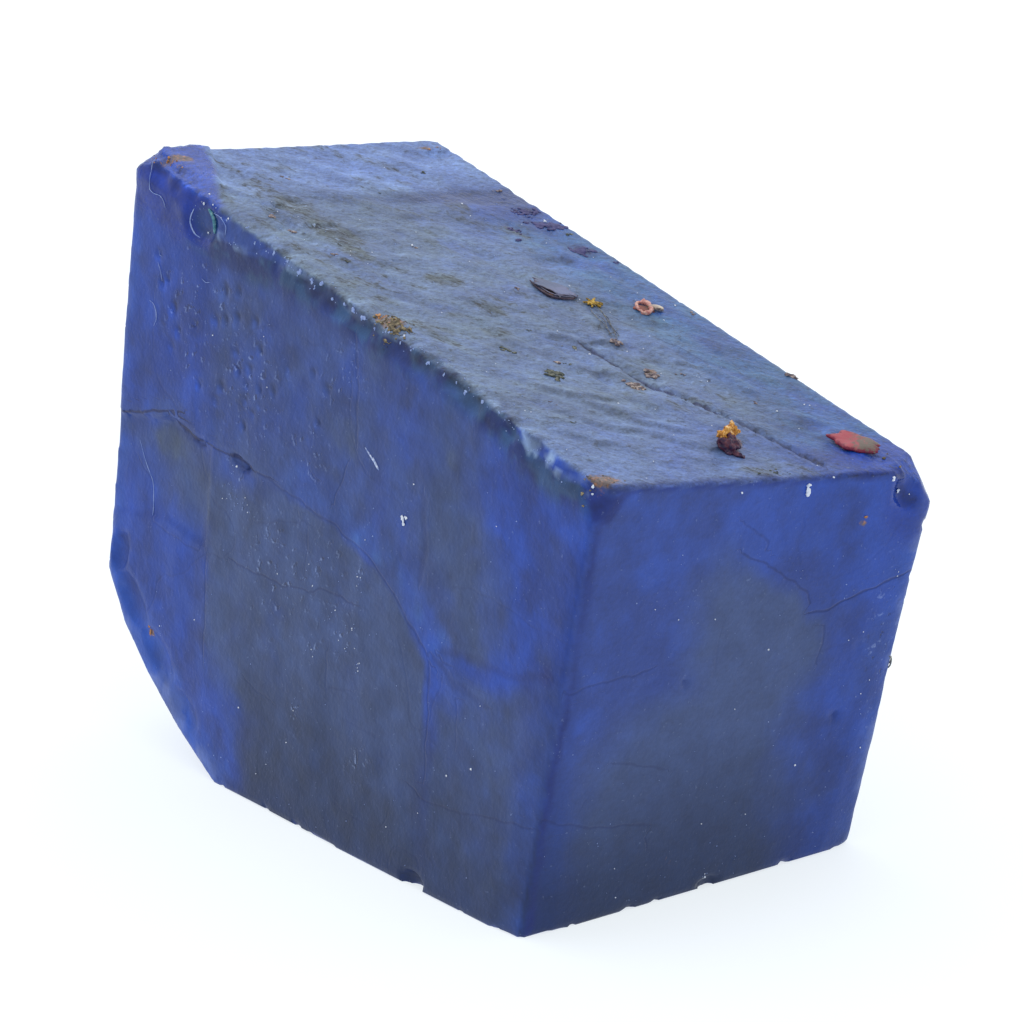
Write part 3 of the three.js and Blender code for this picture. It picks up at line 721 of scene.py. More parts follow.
# %% Lines of the long edge
RIM_RUN = (
    0.0, 3.0, 6.5, 8.5, 12.7, 14.3, 16.2, 17.2, 20.0, 22.2, 23.7, 25.6, 26.6, 28.5, 31.1, 33.1, 36.0,
)
RIM_ACROSS = (
    -0.2, -0.6, -0.5, 0.3, 0.5, 0.7, 0.9, 0.3, 0.1, -0.14, -0.06, 0.15, 0.0, -0.14, -0.48, -1.0, -1.3,
)
KNOB = (
    (-3.0, 47.0), (4.3, 47.0), (3.9, 45.4), (2.9, 43.4), (1.9, 41.4), (0.9, 39.2), (0.2, 37.1),
    (-3.0, 35.6),
)
PALE_BRUISES = (
    (
        (4.0, 27.3), (3.5, 27.5), (3.1, 27.2), (2.5, 27.3), (2.0, 27.2), (2.5, 26.4), (2.9, 26.4),
        (3.4, 26.9),
    ),
    ((1.5, 26.5), (1.1, 27.0), (0.7, 26.5), (1.0, 25.9)),
)
LONG_EDGE_START, LONG_EDGE_RISE = (-3.3, 25.83), 0.208  # on the left face's ruler


def long_edge_up(run):
    """How far up the left face the long edge is, this far along from its near end."""
    return LONG_EDGE_START[1] + LONG_EDGE_RISE * run


print("the long edge climbs", round(float(long_edge_up(RIM_RUN[-1]) - long_edge_up(0)), 1), "mm")

# %% The long edge and the knob
ragged = 0.35 * bumps(points, 1.4, 65) + 0.2 * bumps(points, 0.5, 66)
below = long_edge_up(left_plain[:, 0] - LONG_EDGE_START[0]) - left_plain[:, 1]
across = np.maximum(top_plain[:, 0], 0) - np.maximum(below, 0)
long_run = top_plain[:, 1]
off_rim = across - np.interp(long_run, RIM_RUN, RIM_ACROSS) + 0.35 * ragged
by_long_edge = smooth(to_edge["long"], 3.2, 2.4) * smooth(long_run, -0.5, 1.5)
band = smooth(off_rim, 0.1, -0.15) * smooth(off_rim + 0.6 * ragged, -2.3, -0.8) * by_long_edge
knob = smooth(depth_inside(top_flat, KNOB), -0.15, 0.25) * smooth(long_run, 35.6, 37.5)
knob *= smooth(below + ragged, 3.4, 2.4)
keep("worn band", np.clip(band * (1 - knob), 0, 1))
keep("band teal", smooth(layered(points, 1.2, 76, 3) + 0.25 * smooth(long_run, 33.0, 16.0), -0.1, 0.35))
keep("knob", np.clip(knob * smooth(on_far, 0.9, 0.3), 0, 1))
keep("chip", smooth(chip, 0.05, 0.45))
# the row is partly real pale bruises and partly painted glints along the edge
bruises_and_glints = smooth(layered(points, 0.75, 77, 2), 0.05, 0.3) * smooth(np.abs(off_rim), 0.42, 0.12)
bruises_and_glints *= by_long_edge
run_line = np.array((long_run, long_run, long_run)).T
bruises_and_glints *= 0.25 + 0.75 * smooth(bumps(run_line, 2.4, 67), -0.25, 0.3)
shaky = left_plain + 0.16 * np.array([bumps(points, 0.8, seed) for seed in (87, 88)]).T
for outline in PALE_BRUISES:
    bruise = 1.25 * smooth(depth_inside(shaky, outline), -0.14, 0.14) * smooth(across, 0.3, 0.0)
    bruises_and_glints = np.maximum(0.8 * bruises_and_glints, bruise)
keep("bruises_and_glints", np.clip(bruises_and_glints * (1 - knob), 0, 1.3))
print("points in the dark band:", int((band > 0.5).sum()))

# %% The other edges, and their painted glow
UPRIGHT = (
    (2.9, 25.2), (2.8, 24.2), (2.5, 20.8), (2.1, 16.8), (1.5, 11.6), (0.9, 7.0), (0.5, 1.3), (0.4, 0.0),
)
TRIANGLE = ((1.6, 26.0), (4.9, 25.3), (3.4, 23.6), (2.4, 23.9))
fine = wander(0.16, 0.9, 70) + wander(0.06, 0.35, 80) - points
fine_near = on_face(NEAR, fine)[:, :2]
upright_gap = line_offset(fine_near, UPRIGHT)[1]
near_side = smooth(on_near, 0.0, 0.2)
dark_line = (0.75 * smooth(upright_gap, 0.3, 0.1) + 0.2 * smooth(upright_gap, 0.9, 0.2)) * near_side
dark_line *= 0.75 + 0.4 * bumps(points, 2.4, 68)
dark_line = np.maximum(dark_line, smooth(depth_inside(fine_near, TRIANGLE), -0.1, 0.3) * near_side)
dark_line = np.maximum(dark_line, 0.7 * smooth(to_edge["near top"] + 0.6 * ragged, 0.45, 0.15))
to_spot = np.linalg.norm(points - (LEFT.origin - 0.6 * LEFT.along + 14.9 * LEFT.up), axis=1)
dark_line = np.maximum(dark_line, 0.85 * smooth(to_spot, 0.8, 0.35))
keep("dark line", np.clip(dark_line, 0, 1))
# painted glow: the cut face and the thin edges by it are painted brighter blue, as if light shone through
# them
painted_glow_edges = np.maximum(
    smooth(to_edge["left cut"] + 3 * ragged, 2.6, 0.2) * on_left,
    0.6 * smooth(to_edge["right upright"] + 3 * ragged, 2.4, 0.2) * on_near,
)
painted_glow_edges = np.maximum(painted_glow_edges, 0.6 * smooth(to_edge["far left"] + 2 * ragged, 1.4, 0.2) * on_left)
keep("painted_glow", np.clip(painted_glow_edges + on_cut * 0.5, 0, 1))
glassy = smooth(to_broken + 0.8 * ragged, 3.4, 1.8) * smooth(on_top, 0.9, 0.2)
keep("glass", np.clip(np.maximum(glassy, 0.6 * smooth(chip, 0.05, 0.45)), 0, 1))
print("points on the glassy corner:", int((glassy > 0.5).sum()))

# %% [markdown]
# ## Rust and pits
# Rust is a thin brown skin where iron-rich rock once touched the stone. The pits of the left face
# lie in loose groups, and the material makes them: it only needs to know where the groups are.

# %% Rust and pits
RUSTY = (  # face, along, up, width, length, turn
    ("top", 0.5, 20.6, 1.3, 3.4, 0), ("top", 0.5, 0.9, 3.6, 1.5, -20), ("top", 20.5, 45.8, 1.2, 0.9, 0),
    ("top", 0.5, 43.4, 2.4, 1.3, -10), ("left", 38.0, 35.1, 1.5, 0.4, 10),
    ("left", 15.3, 30.2, 2.0, 0.7, 12), ("near", 24.1, 23.0, 0.8, 0.9, 0),
    ("near", 21.4, 20.4, 0.5, 0.35, 0), ("near", 9.6, 2.6, 0.25, 0.9, 10),
    ("top", 12.4, 4.2, 2.2, 2.4, 0), ("left", 36.9, 7.3, 0.6, 0.6, 0), ("top", 11.3, 11.8, 1.2, 1.4, 0),
    ("top", 13.6, 13.2, 1.0, 1.0, 0), ("top", 14.6, 24.2, 1.6, 3.2, -25),
)
PITTED = (  # face, along, up, width, height
    ("left", 29.0, 18.2, 2.6, 3.8), ("left", 27.5, 16.9, 2.0, 2.0), ("left", 19.6, 16.0, 3.8, 2.8),
    ("left", 16.4, 15.6, 2.0, 2.8), ("left", 18.0, 12.4, 3.4, 3.4), ("left", 20.1, 10.5, 2.0, 1.6),
    ("left", 21.4, 7.0, 1.8, 3.0), ("left", 28.0, 24.2, 6.4, 6.0), ("left", 34.2, 24.6, 3.4, 3.0),
    ("left", 15.0, 5.4, 2.6, 2.2), ("left", 22.0, 21.5, 4.0, 3.0), ("left", 24.0, 14.0, 7.0, 7.0),
    ("top", 16.7, 11.6, 2.2, 3.6), ("left", 33.5, 28.0, 8.0, 6.0), ("near", 23.6, 13.0, 2.0, 9.0),
    ("top", 4.6, 33.5, 4.0, 9.0), ("left", 19.0, 26.5, 4.0, 4.0),
)
rust, pitted = np.zeros(point_count), np.zeros(point_count)
for name, along, up, width, length, turn in RUSTY:
    which, member = FACES[name]
    patch = oval(on_face(which, wobbly)[:, :2], along, up, 1.3 * width, 1.3 * length, turn)
    rust = np.maximum(rust, smooth(member, 0.0, 0.3) * patch)
for name, along, up, width, tall in PITTED:
    which, member = FACES[name]
    patch = oval(on_face(which, points)[:, :2], along, up, 1.6 * width, 1.6 * tall)
    pitted = np.maximum(pitted, smooth(member, 0.0, 0.5) * patch)
keep("rust", rust)
keep("pitted", pitted)
print("groups of pits:", len(PITTED))

# %% [markdown]
# ## Healed cracks
# A crack keeps two numbers: how far a point lies from its line, counted in widths of the line and
# signed, and how deep the line is there. Between two points the signed number passes smoothly
# through zero, so the line that the material draws is much finer than the cells of the mesh. The
# open cracks are kept apart from the faint ones. The faintest are a net: lines where a soft
# noise crosses zero, which run on and close on themselves as healed cracks do.

# %% Lines of the cracks
WIDE = 0.28  # mm, an open crack
HAIR = 0.12  # mm, a closed one
SOFT = 0.42  # mm, one that lies under the surface
OPEN_CRACKS = (  # face, width, depth, and the points of its line
    # this line is a ledge: its dark line is partly a crack and partly painted shadow under the ledge
    ("left", 0.11, 0.85, (42.2, 19.3), (39.6, 19.9), (37.8, 20.3), (36.0, 20.7), (34.6, 21.0)),
    ("left", 0.1, 0.62, (33.7, 19.75), (31.4, 19.8), (29.1, 19.8)),
    ("left", 0.1, 0.5, (27.3, 19.5), (25.2, 19.4)),
    ("top", WIDE, 0.85, *TOP_CRACK[:5], (14.1, 8.2)),
    ("top", WIDE, 0.65, (14.7, 6.8), *TOP_CRACK[6:]),
    ("top", HAIR, 0.35, (13.2, 12.4), (13.8, 10.7), (14.2, 9.4), (15.5, 6.9)),
    ("left", WIDE, 0.9, (35.5, 20.25), (34.6, 20.0), (33.7, 19.8)),
    ("left", WIDE, 0.9, (29.1, 19.85), (28.2, 19.7), (27.3, 19.5)),
)
FAINT_CRACKS = (
    ("left", SOFT, 0.28, (8.3, 13.9), (5.3, 14.2), (2.6, 14.1), (-0.4, 14.8)),
    ("left", SOFT, 0.28, (9.1, 13.3), (7.2, 12.4), (4.4, 11.9)),
    ("left", SOFT, 0.3, (11.2, 21.8), (10.6, 19.2), (10.9, 17.2)),
    ("left", 0.2, 0.3, (18.4, 29.0), (17.9, 25.7), (17.6, 23.4)),
    (
        "left", HAIR, 0.28, (25.4, 19.35), (22.8, 18.85), (19.0, 18.2), (15.4, 17.2), (12.9, 15.8),
        (10.7, 14.0), (9.5, 13.0), (9.3, 11.3), (8.9, 6.3),
    ),
    ("left", HAIR, 0.35, (28.7, 13.6), (25.2, 13.5), (23.2, 13.5), (19.3, 14.3), (16.4, 14.2)),
    ("left", HAIR, 0.28, (18.2, 22.0), (18.7, 20.9), (19.2, 19.5)),
    ("left", HAIR, 0.28, (31.2, 13.3), (31.0, 10.6), (30.8, 7.3)),
    ("left", HAIR, 0.28, (10.3, 5.6), (8.7, 5.2), (6.9, 5.3), (2.4, 6.0), (-0.2, 6.3)),
    ("left", HAIR, 0.18, (26.5, 16.5), (22.7, 17.4), (21.4, 17.8), (21.4, 15.6), (21.5, 14.3)),
    ("left", HAIR, 0.18, (10.6, 13.5), (9.3, 13.3), (6.8, 11.5), (6.5, 9.3)),
    ("left", HAIR, 0.18, (39.2, 17.2), (37.6, 16.2), (37.0, 13.9), (33.9, 13.5), (31.1, 13.3)),
    ("left", HAIR, 0.18, (26.5, 7.3), (25.2, 6.8), (23.8, 6.6)),
    ("left", HAIR, 0.18, (18.7, 11.0), (18.7, 8.8), (16.3, 9.3)),
    ("near", HAIR, 0.5, (25.5, 16.6), (22.0, 16.2), (19.3, 15.5), (18.2, 15.6)),
    ("near", HAIR, 0.32, (0.8, 6.9), (3.0, 6.1), (4.8, 5.6), (6.5, 5.3), (7.7, 5.1)),
    ("near", HAIR, 0.3, (0.5, 15.5), (1.7, 14.2), (3.8, 14.5), (5.8, 14.4), (7.2, 14.6)),
    (
        "near", HAIR, 0.38, (18.2, 15.6), (17.7, 16.9), (16.5, 17.9), (15.3, 18.6), (14.5, 19.4),
        (12.9, 20.3),
    ),
    ("near", HAIR, 0.26, (7.7, 5.1), (7.9, 3.9)),
    ("near", HAIR, 0.26, (5.2, 9.4), (7.1, 8.9), (8.6, 8.3)),
    ("near", HAIR, 0.26, (12.7, 22.1), (13.7, 21.4), (14.6, 20.6), (14.4, 19.7)),
    ("near", HAIR, 0.26, (19.3, 15.3), (19.3, 13.6), (18.9, 12.4)),
    ("top", HAIR, 0.3, (16.0, 21.8), (17.2, 19.0), (18.0, 16.5), (18.2, 14.0)),
)
print("open cracks:", len(OPEN_CRACKS), "and faint ones:", len(FAINT_CRACKS))

# %% Healed cracks
FAR_OFF = 9  # widths of the line, where nothing of a crack is left
NET_SIZE, NET_STEP, NET_SEED = 5.0, 0.2, 90


def keep_cracks(name, cracks):
    """Keep the signed distance and the depth of the nearest of some cracks."""
    signed_at = np.full(point_count, float(FAR_OFF))
    depth_at = np.zeros(point_count)
    for face_name, width, depth, *line in cracks:
        which, member = FACES[face_name]
        signed, away = line_offset(on_face(which, fine)[:, :2], line)
        here = smooth(away, 0.8, 0.45) * smooth(member, 0.1, 0.5) * depth
        better = here > depth_at
        signed_at = np.where(better, signed / width, signed_at)
        depth_at = np.where(better, here, depth_at)
    keep(name, signed_at)
    keep(name + " depth", depth_at)


keep_cracks("open crack", OPEN_CRACKS)
keep_cracks("faint crack", FAINT_CRACKS)
field = bumps(fine, NET_SIZE, NET_SEED)
slopes = [(bumps(fine + NET_STEP * axis, NET_SIZE, NET_SEED) - field) / NET_STEP for axis in np.eye(3)]
net_gap = field / np.maximum(np.linalg.norm(slopes, axis=0), 0.05)
keep("net crack", np.clip(net_gap / HAIR, -FAR_OFF, FAR_OFF))
net_depth = smooth(np.abs(net_gap), 0.8, 0.4) * smooth(layered(points, 5.0, 92, 2), -0.1, 0.25)
net_faces = np.clip(on_left + 0.6 * on_near + 0.4 * on_top + on_right, 0, 1)
keep("net crack depth", 0.14 * net_depth * net_faces)
print("marks kept:", len(marks))

# %% [markdown]
# ## Tanzanite, sawn and worn
# Sawn zoisite is glassy stone with a dull, slightly waxy skin: the saw leaves it finely rough, so
# it reflects softly, and its blue is strongest where nothing whitens it. Its refractive index is
# 1.69. The material reads the kept marks, and adds only what is finer than the cells of the
# mesh: two noises, half a millimetre and a quarter of a millimetre wide, used again and again for
# specks, pits, flecks and bump, so that the render stays quick. Four kinds of steps join them: a
# sum on two numbers, a number without its sign, a soft ramp between two levels, and a colour laid
# over another. A table says which node each step is, and one function adds any of them.

# %% Steps of the stone's material
tanzanite, tree, shader = new_material("tanzanite, sawn and worn")
SUM_SOCKETS = (0, 1)
RAMP_SOCKETS = ("Value", "From Min", "From Max", "To Min", "To Max")
COVER_SOCKETS = (6, 7, 0)  # the lower colour, the upper colour and the share of the upper one
STEPS = {  # the node, its settings, the sockets that are filled, and the one that is read
    "times": ("ShaderNodeMath", {"operation": "MULTIPLY"}, SUM_SOCKETS, 0),
    "plus": ("ShaderNodeMath", {"operation": "ADD"}, SUM_SOCKETS, 0),
    "minus": ("ShaderNodeMath", {"operation": "SUBTRACT"}, SUM_SOCKETS, 0),
    "greater": ("ShaderNodeMath", {"operation": "MAXIMUM"}, SUM_SOCKETS, 0),
    "unsigned": ("ShaderNodeMath", {"operation": "ABSOLUTE"}, SUM_SOCKETS[:1], 0),
    "ramp": ("ShaderNodeMapRange", {"interpolation_type": "SMOOTHSTEP"}, RAMP_SOCKETS, 0),
    "cover": ("ShaderNodeMix", {"data_type": "RGBA"}, COVER_SOCKETS, 2),
}


def step(name, *inputs):
    """Add one step of the stone's material and give its result. times takes any number of shares."""
    kind, settings, sockets, read = STEPS[name]
    if len(inputs) > 2 and name == "times":
        inputs = (step(name, *inputs[:-1]), inputs[-1])
    return add(tree, kind, dict(zip(sockets, inputs)), **settings).outputs[read]


mark = {
    name: add(tree, "ShaderNodeAttribute", attribute_name=name).outputs["Fac"] for name in marks
}
top_side = mark["top side"]
print("marks that the material reads:", len(mark))

# %% Grain finer than the mesh
HALF_MM, QUARTER_MM = 0.5, 0.24
MOVE_UP, MOVE_NEAR = 0.2, 0.35  # of a grain
HAIR_STRETCH = 2.3  # how many times longer than wide a hair of a stain is
place = add(tree, "ShaderNodeTexCoord").outputs["Object"]
by_half, by_quarter = (
    {0: place, 1: (0, -MOVE_NEAR * size_mm * MM, MOVE_UP * size_mm * MM)}
    for size_mm in (HALF_MM, QUARTER_MM)
)
half_place = add(tree, "ShaderNodeVectorMath", by_half, operation="ADD")
quarter_place = add(tree, "ShaderNodeVectorMath", by_quarter, operation="ADD")
turned = {"Vector": place, "Rotation": (0, 0, DRAG_TURN), "Scale": (HAIR_STRETCH, 1, 1)}
drag_place = add(tree, "ShaderNodeMapping", turned, vector_type="TEXTURE")
patterns = []
for where, size_mm, detail, rough in (
    (place, HALF_MM, 3.0, 0.6), (half_place, HALF_MM, 3.0, 0.6), (place, QUARTER_MM, 2.0, 0.6),
    (quarter_place, QUARTER_MM, 2.0, 0.6), (drag_place, QUARTER_MM, 3.0, 0.65),
):
    inputs = {"Vector": where, "Scale": 1 / (size_mm * MM), "Detail": detail, "Roughness": rough}
    patterns.append(add(tree, "ShaderNodeTexNoise", inputs, normalize=True).outputs["Fac"])
half, half_moved, quarter, quarter_moved, hairs = patterns
print("noises:", len(patterns))

# %% Colours of the stone
BRIGHT_BLUE = paint("#153c94")
DEEP_BLUE = paint("#12317c")
# brighter blue of the painted glow
PAINTED_GLOW_BLUE = paint("#1e489f")
STREAK_BLUE = paint("#2c559c")
MILKY = paint("#2f426e")
LOW_DARK = paint("#0f2347")
# pale of the painted highlights
PALE_HIGHLIGHT = paint("#6577ad")
# grey of the dust and of the painted sheen on the top
GREY_DUST_AND_SHEEN = paint("#6f8392")
# painted reflection of the pale sky
SKY_REFLECTION_BLUE = paint("#7d98c4")
DAMP_TEAL = paint("#3f7486")
PLUM_STAIN = paint("#27254f")
OLIVE = paint("#49534d")
STAIN_DARK = paint("#1d2228")
BAND_BLUE = paint("#0a2055")
BAND_TEAL = paint("#203f63")
KNOB_BLUE = paint("#0c2b80")
KNOB_TOP = paint("#0a3c9c")
CHIP_TEAL = paint("#143a5c")
# pale of the bruises, and of the painted glints
BRUISE_AND_GLINT_PALE = paint("#8fa9c9")
LINE_BLUE = paint("#0a1f66")
# dark of the cracks, and of the painted shadow under the ledge
CRACK_AND_LEDGE_SHADOW_DARK = paint("#08174a")
RUST_BROWN = paint("#665442")
RUST_ORANGE = paint("#a06c38")
# dark of the dirt specks, and of the painted shade in the pits
DIRT_AND_PIT_SHADE_DARK = paint("#1c2440")
# pale of the bruised specks, and of the painted light on the pits' lips
PALE_SPECK_AND_LIT_LIP = paint("#8fa3cc")
print("bright blue in linear light:", [round(c, 3) for c in BRIGHT_BLUE[:3]])

# %% Layers of colour
# the dust layer is real dust and painted sheen, and toward the far end a painted sky reflection
dust_and_sheen_share = step("times", mark["dust"], step("ramp", half, 0.3, 0.7, 0.86, 1.14))
dust_and_reflection_colour = step("cover", GREY_DUST_AND_SHEEN, SKY_REFLECTION_BLUE, mark["painted_sky_reflection"])
hair_share = step("times", step("ramp", hairs, 0.5, 0.62), step("ramp", mark["stain"], 0.1, 0.5), top_side)
band_colour = step("cover", BAND_BLUE, BAND_TEAL, mark["band teal"])
knob_colour = step("cover", KNOB_BLUE, KNOB_TOP, top_side)
spotty_rust = step("plus", mark["rust"], step("times", quarter, 0.5))
rust_colour = step("cover", RUST_BROWN, RUST_ORANGE, step("ramp", quarter, 0.52, 0.66))
layers = (  # a colour, and the shares that are multiplied together
    (PAINTED_GLOW_BLUE, mark["painted_glow"]), (STREAK_BLUE, mark["streak"]), (MILKY, mark["cloud"]),
    (LOW_DARK, mark["low"], 0.85), (PALE_HIGHLIGHT, mark["painted_highlight"]), (DAMP_TEAL, mark["damp"]),
    (dust_and_reflection_colour, dust_and_sheen_share), (PLUM_STAIN, mark["plum"], 0.75), (OLIVE, mark["stain"], 0.72),
    (STAIN_DARK, hair_share, 0.85), (band_colour, mark["worn band"], 0.9),
    (knob_colour, mark["knob"], 0.95), (CHIP_TEAL, mark["chip"], 0.7), (KNOB_BLUE, mark["glass"], 0.6),
    (BRUISE_AND_GLINT_PALE, mark["bruises_and_glints"], 0.65), (LINE_BLUE, mark["dark line"], 0.8),
    (rust_colour, step("ramp", spotty_rust, 0.45, 0.9), 0.85),
)
colour = step("cover", DEEP_BLUE, BRIGHT_BLUE, mark["blue"])
for over_colour, *shares in layers:
    share = step("times", *shares) if len(shares) > 1 else shares[0]
    colour = step("cover", colour, over_colour, share)
print("colour layers on the plain blue:", len(layers))

# %% [markdown]
# ## Specks, pits and cracks
# Dark specks are dirt in hollows, pale ones are bruised points. A pit is a dark speck of painted
# shade with a painted highlight on its lower lip, made by setting the same noise against a copy of
# itself moved by a third of a grain. The difference of the two also tells how steeply the fine grain
# rises, and paints light on one side of each grain and shade on the other.

# %% Specks, pits and cracks
half_dirty = step("plus", half, step("times", top_side, 0.035))
most_dirt = step("plus", step("times", top_side, 0.5), 0.14)
dirt = step("times", step("ramp", half_dirty, 0.66, 0.73), most_dirt)
fine_dirt = step("times", step("ramp", quarter_moved, 0.63, 0.72), top_side)
# the pits' dark centres are painted shade, and their lower lips are painted light
pit = step("times", step("ramp", half, 0.6, 0.67), mark["pitted"])
painted_lit_lip = step("times", step("ramp", half_moved, 0.6, 0.67), step("ramp", half, 0.62, 0.56), mark["pitted"])
quarter_pale = step("plus", quarter, step("times", top_side, 0.015))
most_pale = step("plus", step("times", top_side, 0.35), 0.3)
pale = step("times", step("ramp", quarter_pale, 0.68, 0.75), most_pale)
open_line, faint_line, net_line = (
    step("times", step("ramp", step("unsigned", mark[name]), 1.0, 0.15), mark[name + " depth"])
    for name in ("open crack", "faint crack", "net crack")
)
cracks = step("greater", step("greater", open_line, faint_line), net_line)
for over_colour, share, strength in (
    (DIRT_AND_PIT_SHADE_DARK, dirt, 0.7), (DIRT_AND_PIT_SHADE_DARK, fine_dirt, 0.28), (DIRT_AND_PIT_SHADE_DARK, pit, 0.55),
    (PALE_SPECK_AND_LIT_LIP, painted_lit_lip, 0.4), (PALE_SPECK_AND_LIT_LIP, pale, 0.5),
):
    colour = step("cover", colour, over_colour, step("times", share, strength))
colour = step("cover", colour, CRACK_AND_LEDGE_SHADOW_DARK, cracks)
print("nodes in the stone's colour:", len(tree.nodes))

# %% Painted light and shade on one side of each grain
half_slope, quarter_slope = (
    step("times", step("minus", moved, plain), step("ramp", top_side, 0, 1, 0.3, most))
    for moved, plain, most in ((half_moved, half, 1.3), (quarter_moved, quarter, 1.2))
)
# painted light and shade: each grain's rise toward the light, stronger on the top, times the mottling and
# the painted slope light
painted_light_and_mottle = step("plus", 1.0, step("plus", half_slope, quarter_slope))
painted_light_and_mottle = step("times", painted_light_and_mottle, mark["mottle"], mark["painted_slope_light"])
lit = add(tree, "ShaderNodeVectorMath", {0: colour, 1: painted_light_and_mottle}, operation="MULTIPLY")
fill(tree, shader, {"Base Color": lit})
print("nodes with the lit grains:", len(tree.nodes))

# %% [markdown]
# ## How it shines, and its fine bump
# Dust makes the skin a little rougher, and the broken corner, the chip and the knob are as smooth
# as glass. The fine bump is the same two noises again, with the cracks sunk into them.

# %% Roughness and bump
dusty = step("plus", step("times", mark["dust"], 0.12), 0.42)
glassy_places = step("greater", mark["glass"], mark["knob"])
rough_skin = step("minus", dusty, step("times", glassy_places, 0.24))
BUMP_MM = 0.1
on_top_more = step("ramp", top_side, 0, 1, 0.3, 1.0)
rise = step("plus", step("times", half, on_top_more), step("times", quarter, 0.25))
rise = step("minus", rise, step("times", step("greater", cracks, step("times", pit, 0.6)), 0.6))
fine_bump = add(tree, "ShaderNodeBump", {"Height": rise, "Strength": 0.8, "Distance": BUMP_MM * MM})
fill(tree, shader, {"IOR": 1.69, "Specular IOR Level": 0.2})
fill(tree, shader, {"Roughness": rough_skin, "Normal": fine_bump})
mesh.materials.append(tanzanite)
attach(stone, "root")
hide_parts(NODE)
print("material has", len(tree.nodes), "nodes")

# %% [markdown]
# ## Setting small things on the skin
# Everything that sticks to the stone is a mesh of its own. A ray is shot at the face from
# outside, and where it meets the skin the piece is set down. Three shapes are enough: a crumb is
# a ball pushed in and out by noise, a flake is a thin plate with a pointed or round outline, and
# a fibre is a fine tube through a few points. Alike shapes are joined into one mesh, and a crust
# is such a mesh melted together.

# %% Places on the skin
skin = BVHTree.FromObject(stone, bpy.context.evaluated_depsgraph_get())
dice = np.random.default_rng(41)
RAY_START, RAY_REACH = 3, 5  # mm, from above a face to below its skin


def seat(name, along, up):
    """The point of the skin over a place on a face, in block millimetres, or None past its edge."""
    which = FACES[name][0]
    above = which.origin + along * which.along + up * which.up + RAY_START * which.out
    hit = skin.ray_cast(Vector(to_scene(above)), Vector(-which.out), RAY_REACH * MM)[0]
    return None if hit is None else np.array(hit) / MM - origin_mm


def laid_on(name, shape, angle, lift=0.0):
    """A shape's points turned about its upright axis, lifted, and laid along a face."""
    which = FACES[name][0]
    c, s = math.cos(angle), math.sin(angle)
    x, y, z = shape.T
    turned = np.array((c * x - s * y, s * x + c * y, z + lift)).T
    return turned @ np.array((which.along, which.up, which.out))


def over(name, *places):
    """Points on the skin, each lifted by its third number, for a fibre to pass through."""
    which = FACES[name][0]
    route = []
    for along, up, lift in places:
        level = which.origin + along * which.along + up * which.up
        nearest = skin.find_nearest(Vector(to_scene(level)))[0]
        route.append(np.array(nearest) / MM - origin_mm + which.out * lift)
    return route


print("seat on the top face:", [round(c, 2) for c in seat("top", 12, 20)])


# %% Crumbs
def unit_ball(detail):
    """Points and faces of a ball of radius 1."""
    ball = bmesh.new()
    bmesh.ops.create_icosphere(ball, subdivisions=detail, radius=1)
    ball_points = np.array([v.co for v in ball.verts])
    ball_faces = [[v.index for v in f.verts] for f in ball.faces]
    ball.free()
    return ball_points, ball_faces


BALLS = {detail: unit_ball(detail) for detail in (1, 2, 3)}


def crumb(name, along, up, size, height, lift=0.25, detail=2, rough=0.45):
    """A rough lump: size is how wide it is in mm, height how tall, lift how far up it sits."""
    foot = seat(name, along, up)
    if foot is None:
        return None
    ball_points, ball_faces = BALLS[detail]
    seed = int(dice.integers(1000))
    swell = 1 + rough * bumps(ball_points + 7, 0.7, seed)
    swell += 0.5 * rough * bumps(ball_points + 7, 0.3, seed + 1)
    stretch = dice.uniform(0.75, 1.2, 2)
    half_size = (size / 2 * stretch[0], size / 2 * stretch[1], height / 2)
    shape = laid_on(name, ball_points * swell[:, None] * half_size, dice.uniform(0, math.pi))
    return foot + FACES[name][0].out * lift * height + shape, ball_faces


print("points of a coarse, a plain and a fine ball:", [len(ball[0]) for ball in BALLS.values()])


# %% Joining shapes and melting them together
def join_shapes(name, shapes, finish):
    """One piece made of many (points, faces) shapes, riding on the stone's body."""
    all_points, all_faces, start = [], [], 0
    shapes = [shape for shape in shapes if shape]
    for shape_points, shape_faces in shapes:
        all_points.append(shape_points)
        all_faces += [[i + start for i in f] for f in shape_faces]
        start += len(shape_points)
    made = bpy.data.meshes.new(name)
    made.from_pydata(to_scene(np.vstack(all_points)).tolist(), [], all_faces)
    made.shade_smooth()
    made.materials.append(finish)
    piece = bpy.data.objects.new(name, made)
    bpy.context.scene.collection.objects.link(piece)
    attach(piece, "root")
    print(name, "has", len(shapes), "shapes and", sum(len(f) - 2 for f in all_faces), "triangles")
    return piece


def crust(name, shapes, finish, cell_mm, rough_mm):
    """Lumps fused into one rough mass: joined, remeshed fine, and pushed in and out by noise."""
    piece = join_shapes(name, shapes, finish)
    melt = piece.modifiers.new("melt", "REMESH")
    melt.mode = "VOXEL"
    melt.voxel_size = cell_mm * MM
    apply_modifiers(piece)
    fused = piece.data
    spots, ways = np.empty((2, len(fused.vertices) * 3))
    fused.vertices.foreach_get("co", spots)
    fused.vertex_normals.foreach_get("vector", ways)
    spots, ways = spots.reshape(-1, 3) / MM, ways.reshape(-1, 3)
    seed = int(dice.integers(1000))
    push = rough_mm * (bumps(spots, 0.22, seed) + 0.6 * bumps(spots, 0.11, seed + 1))
    pushed = (spots + push[:, None] * ways) * MM
    fused.vertices.foreach_set("co", pushed.astype(np.float32).ravel())
    fused.update()
    fused.shade_smooth()
    print(name, "fused into", len(fused.polygons), "cells")


print("shapes can be joined, and melted together")

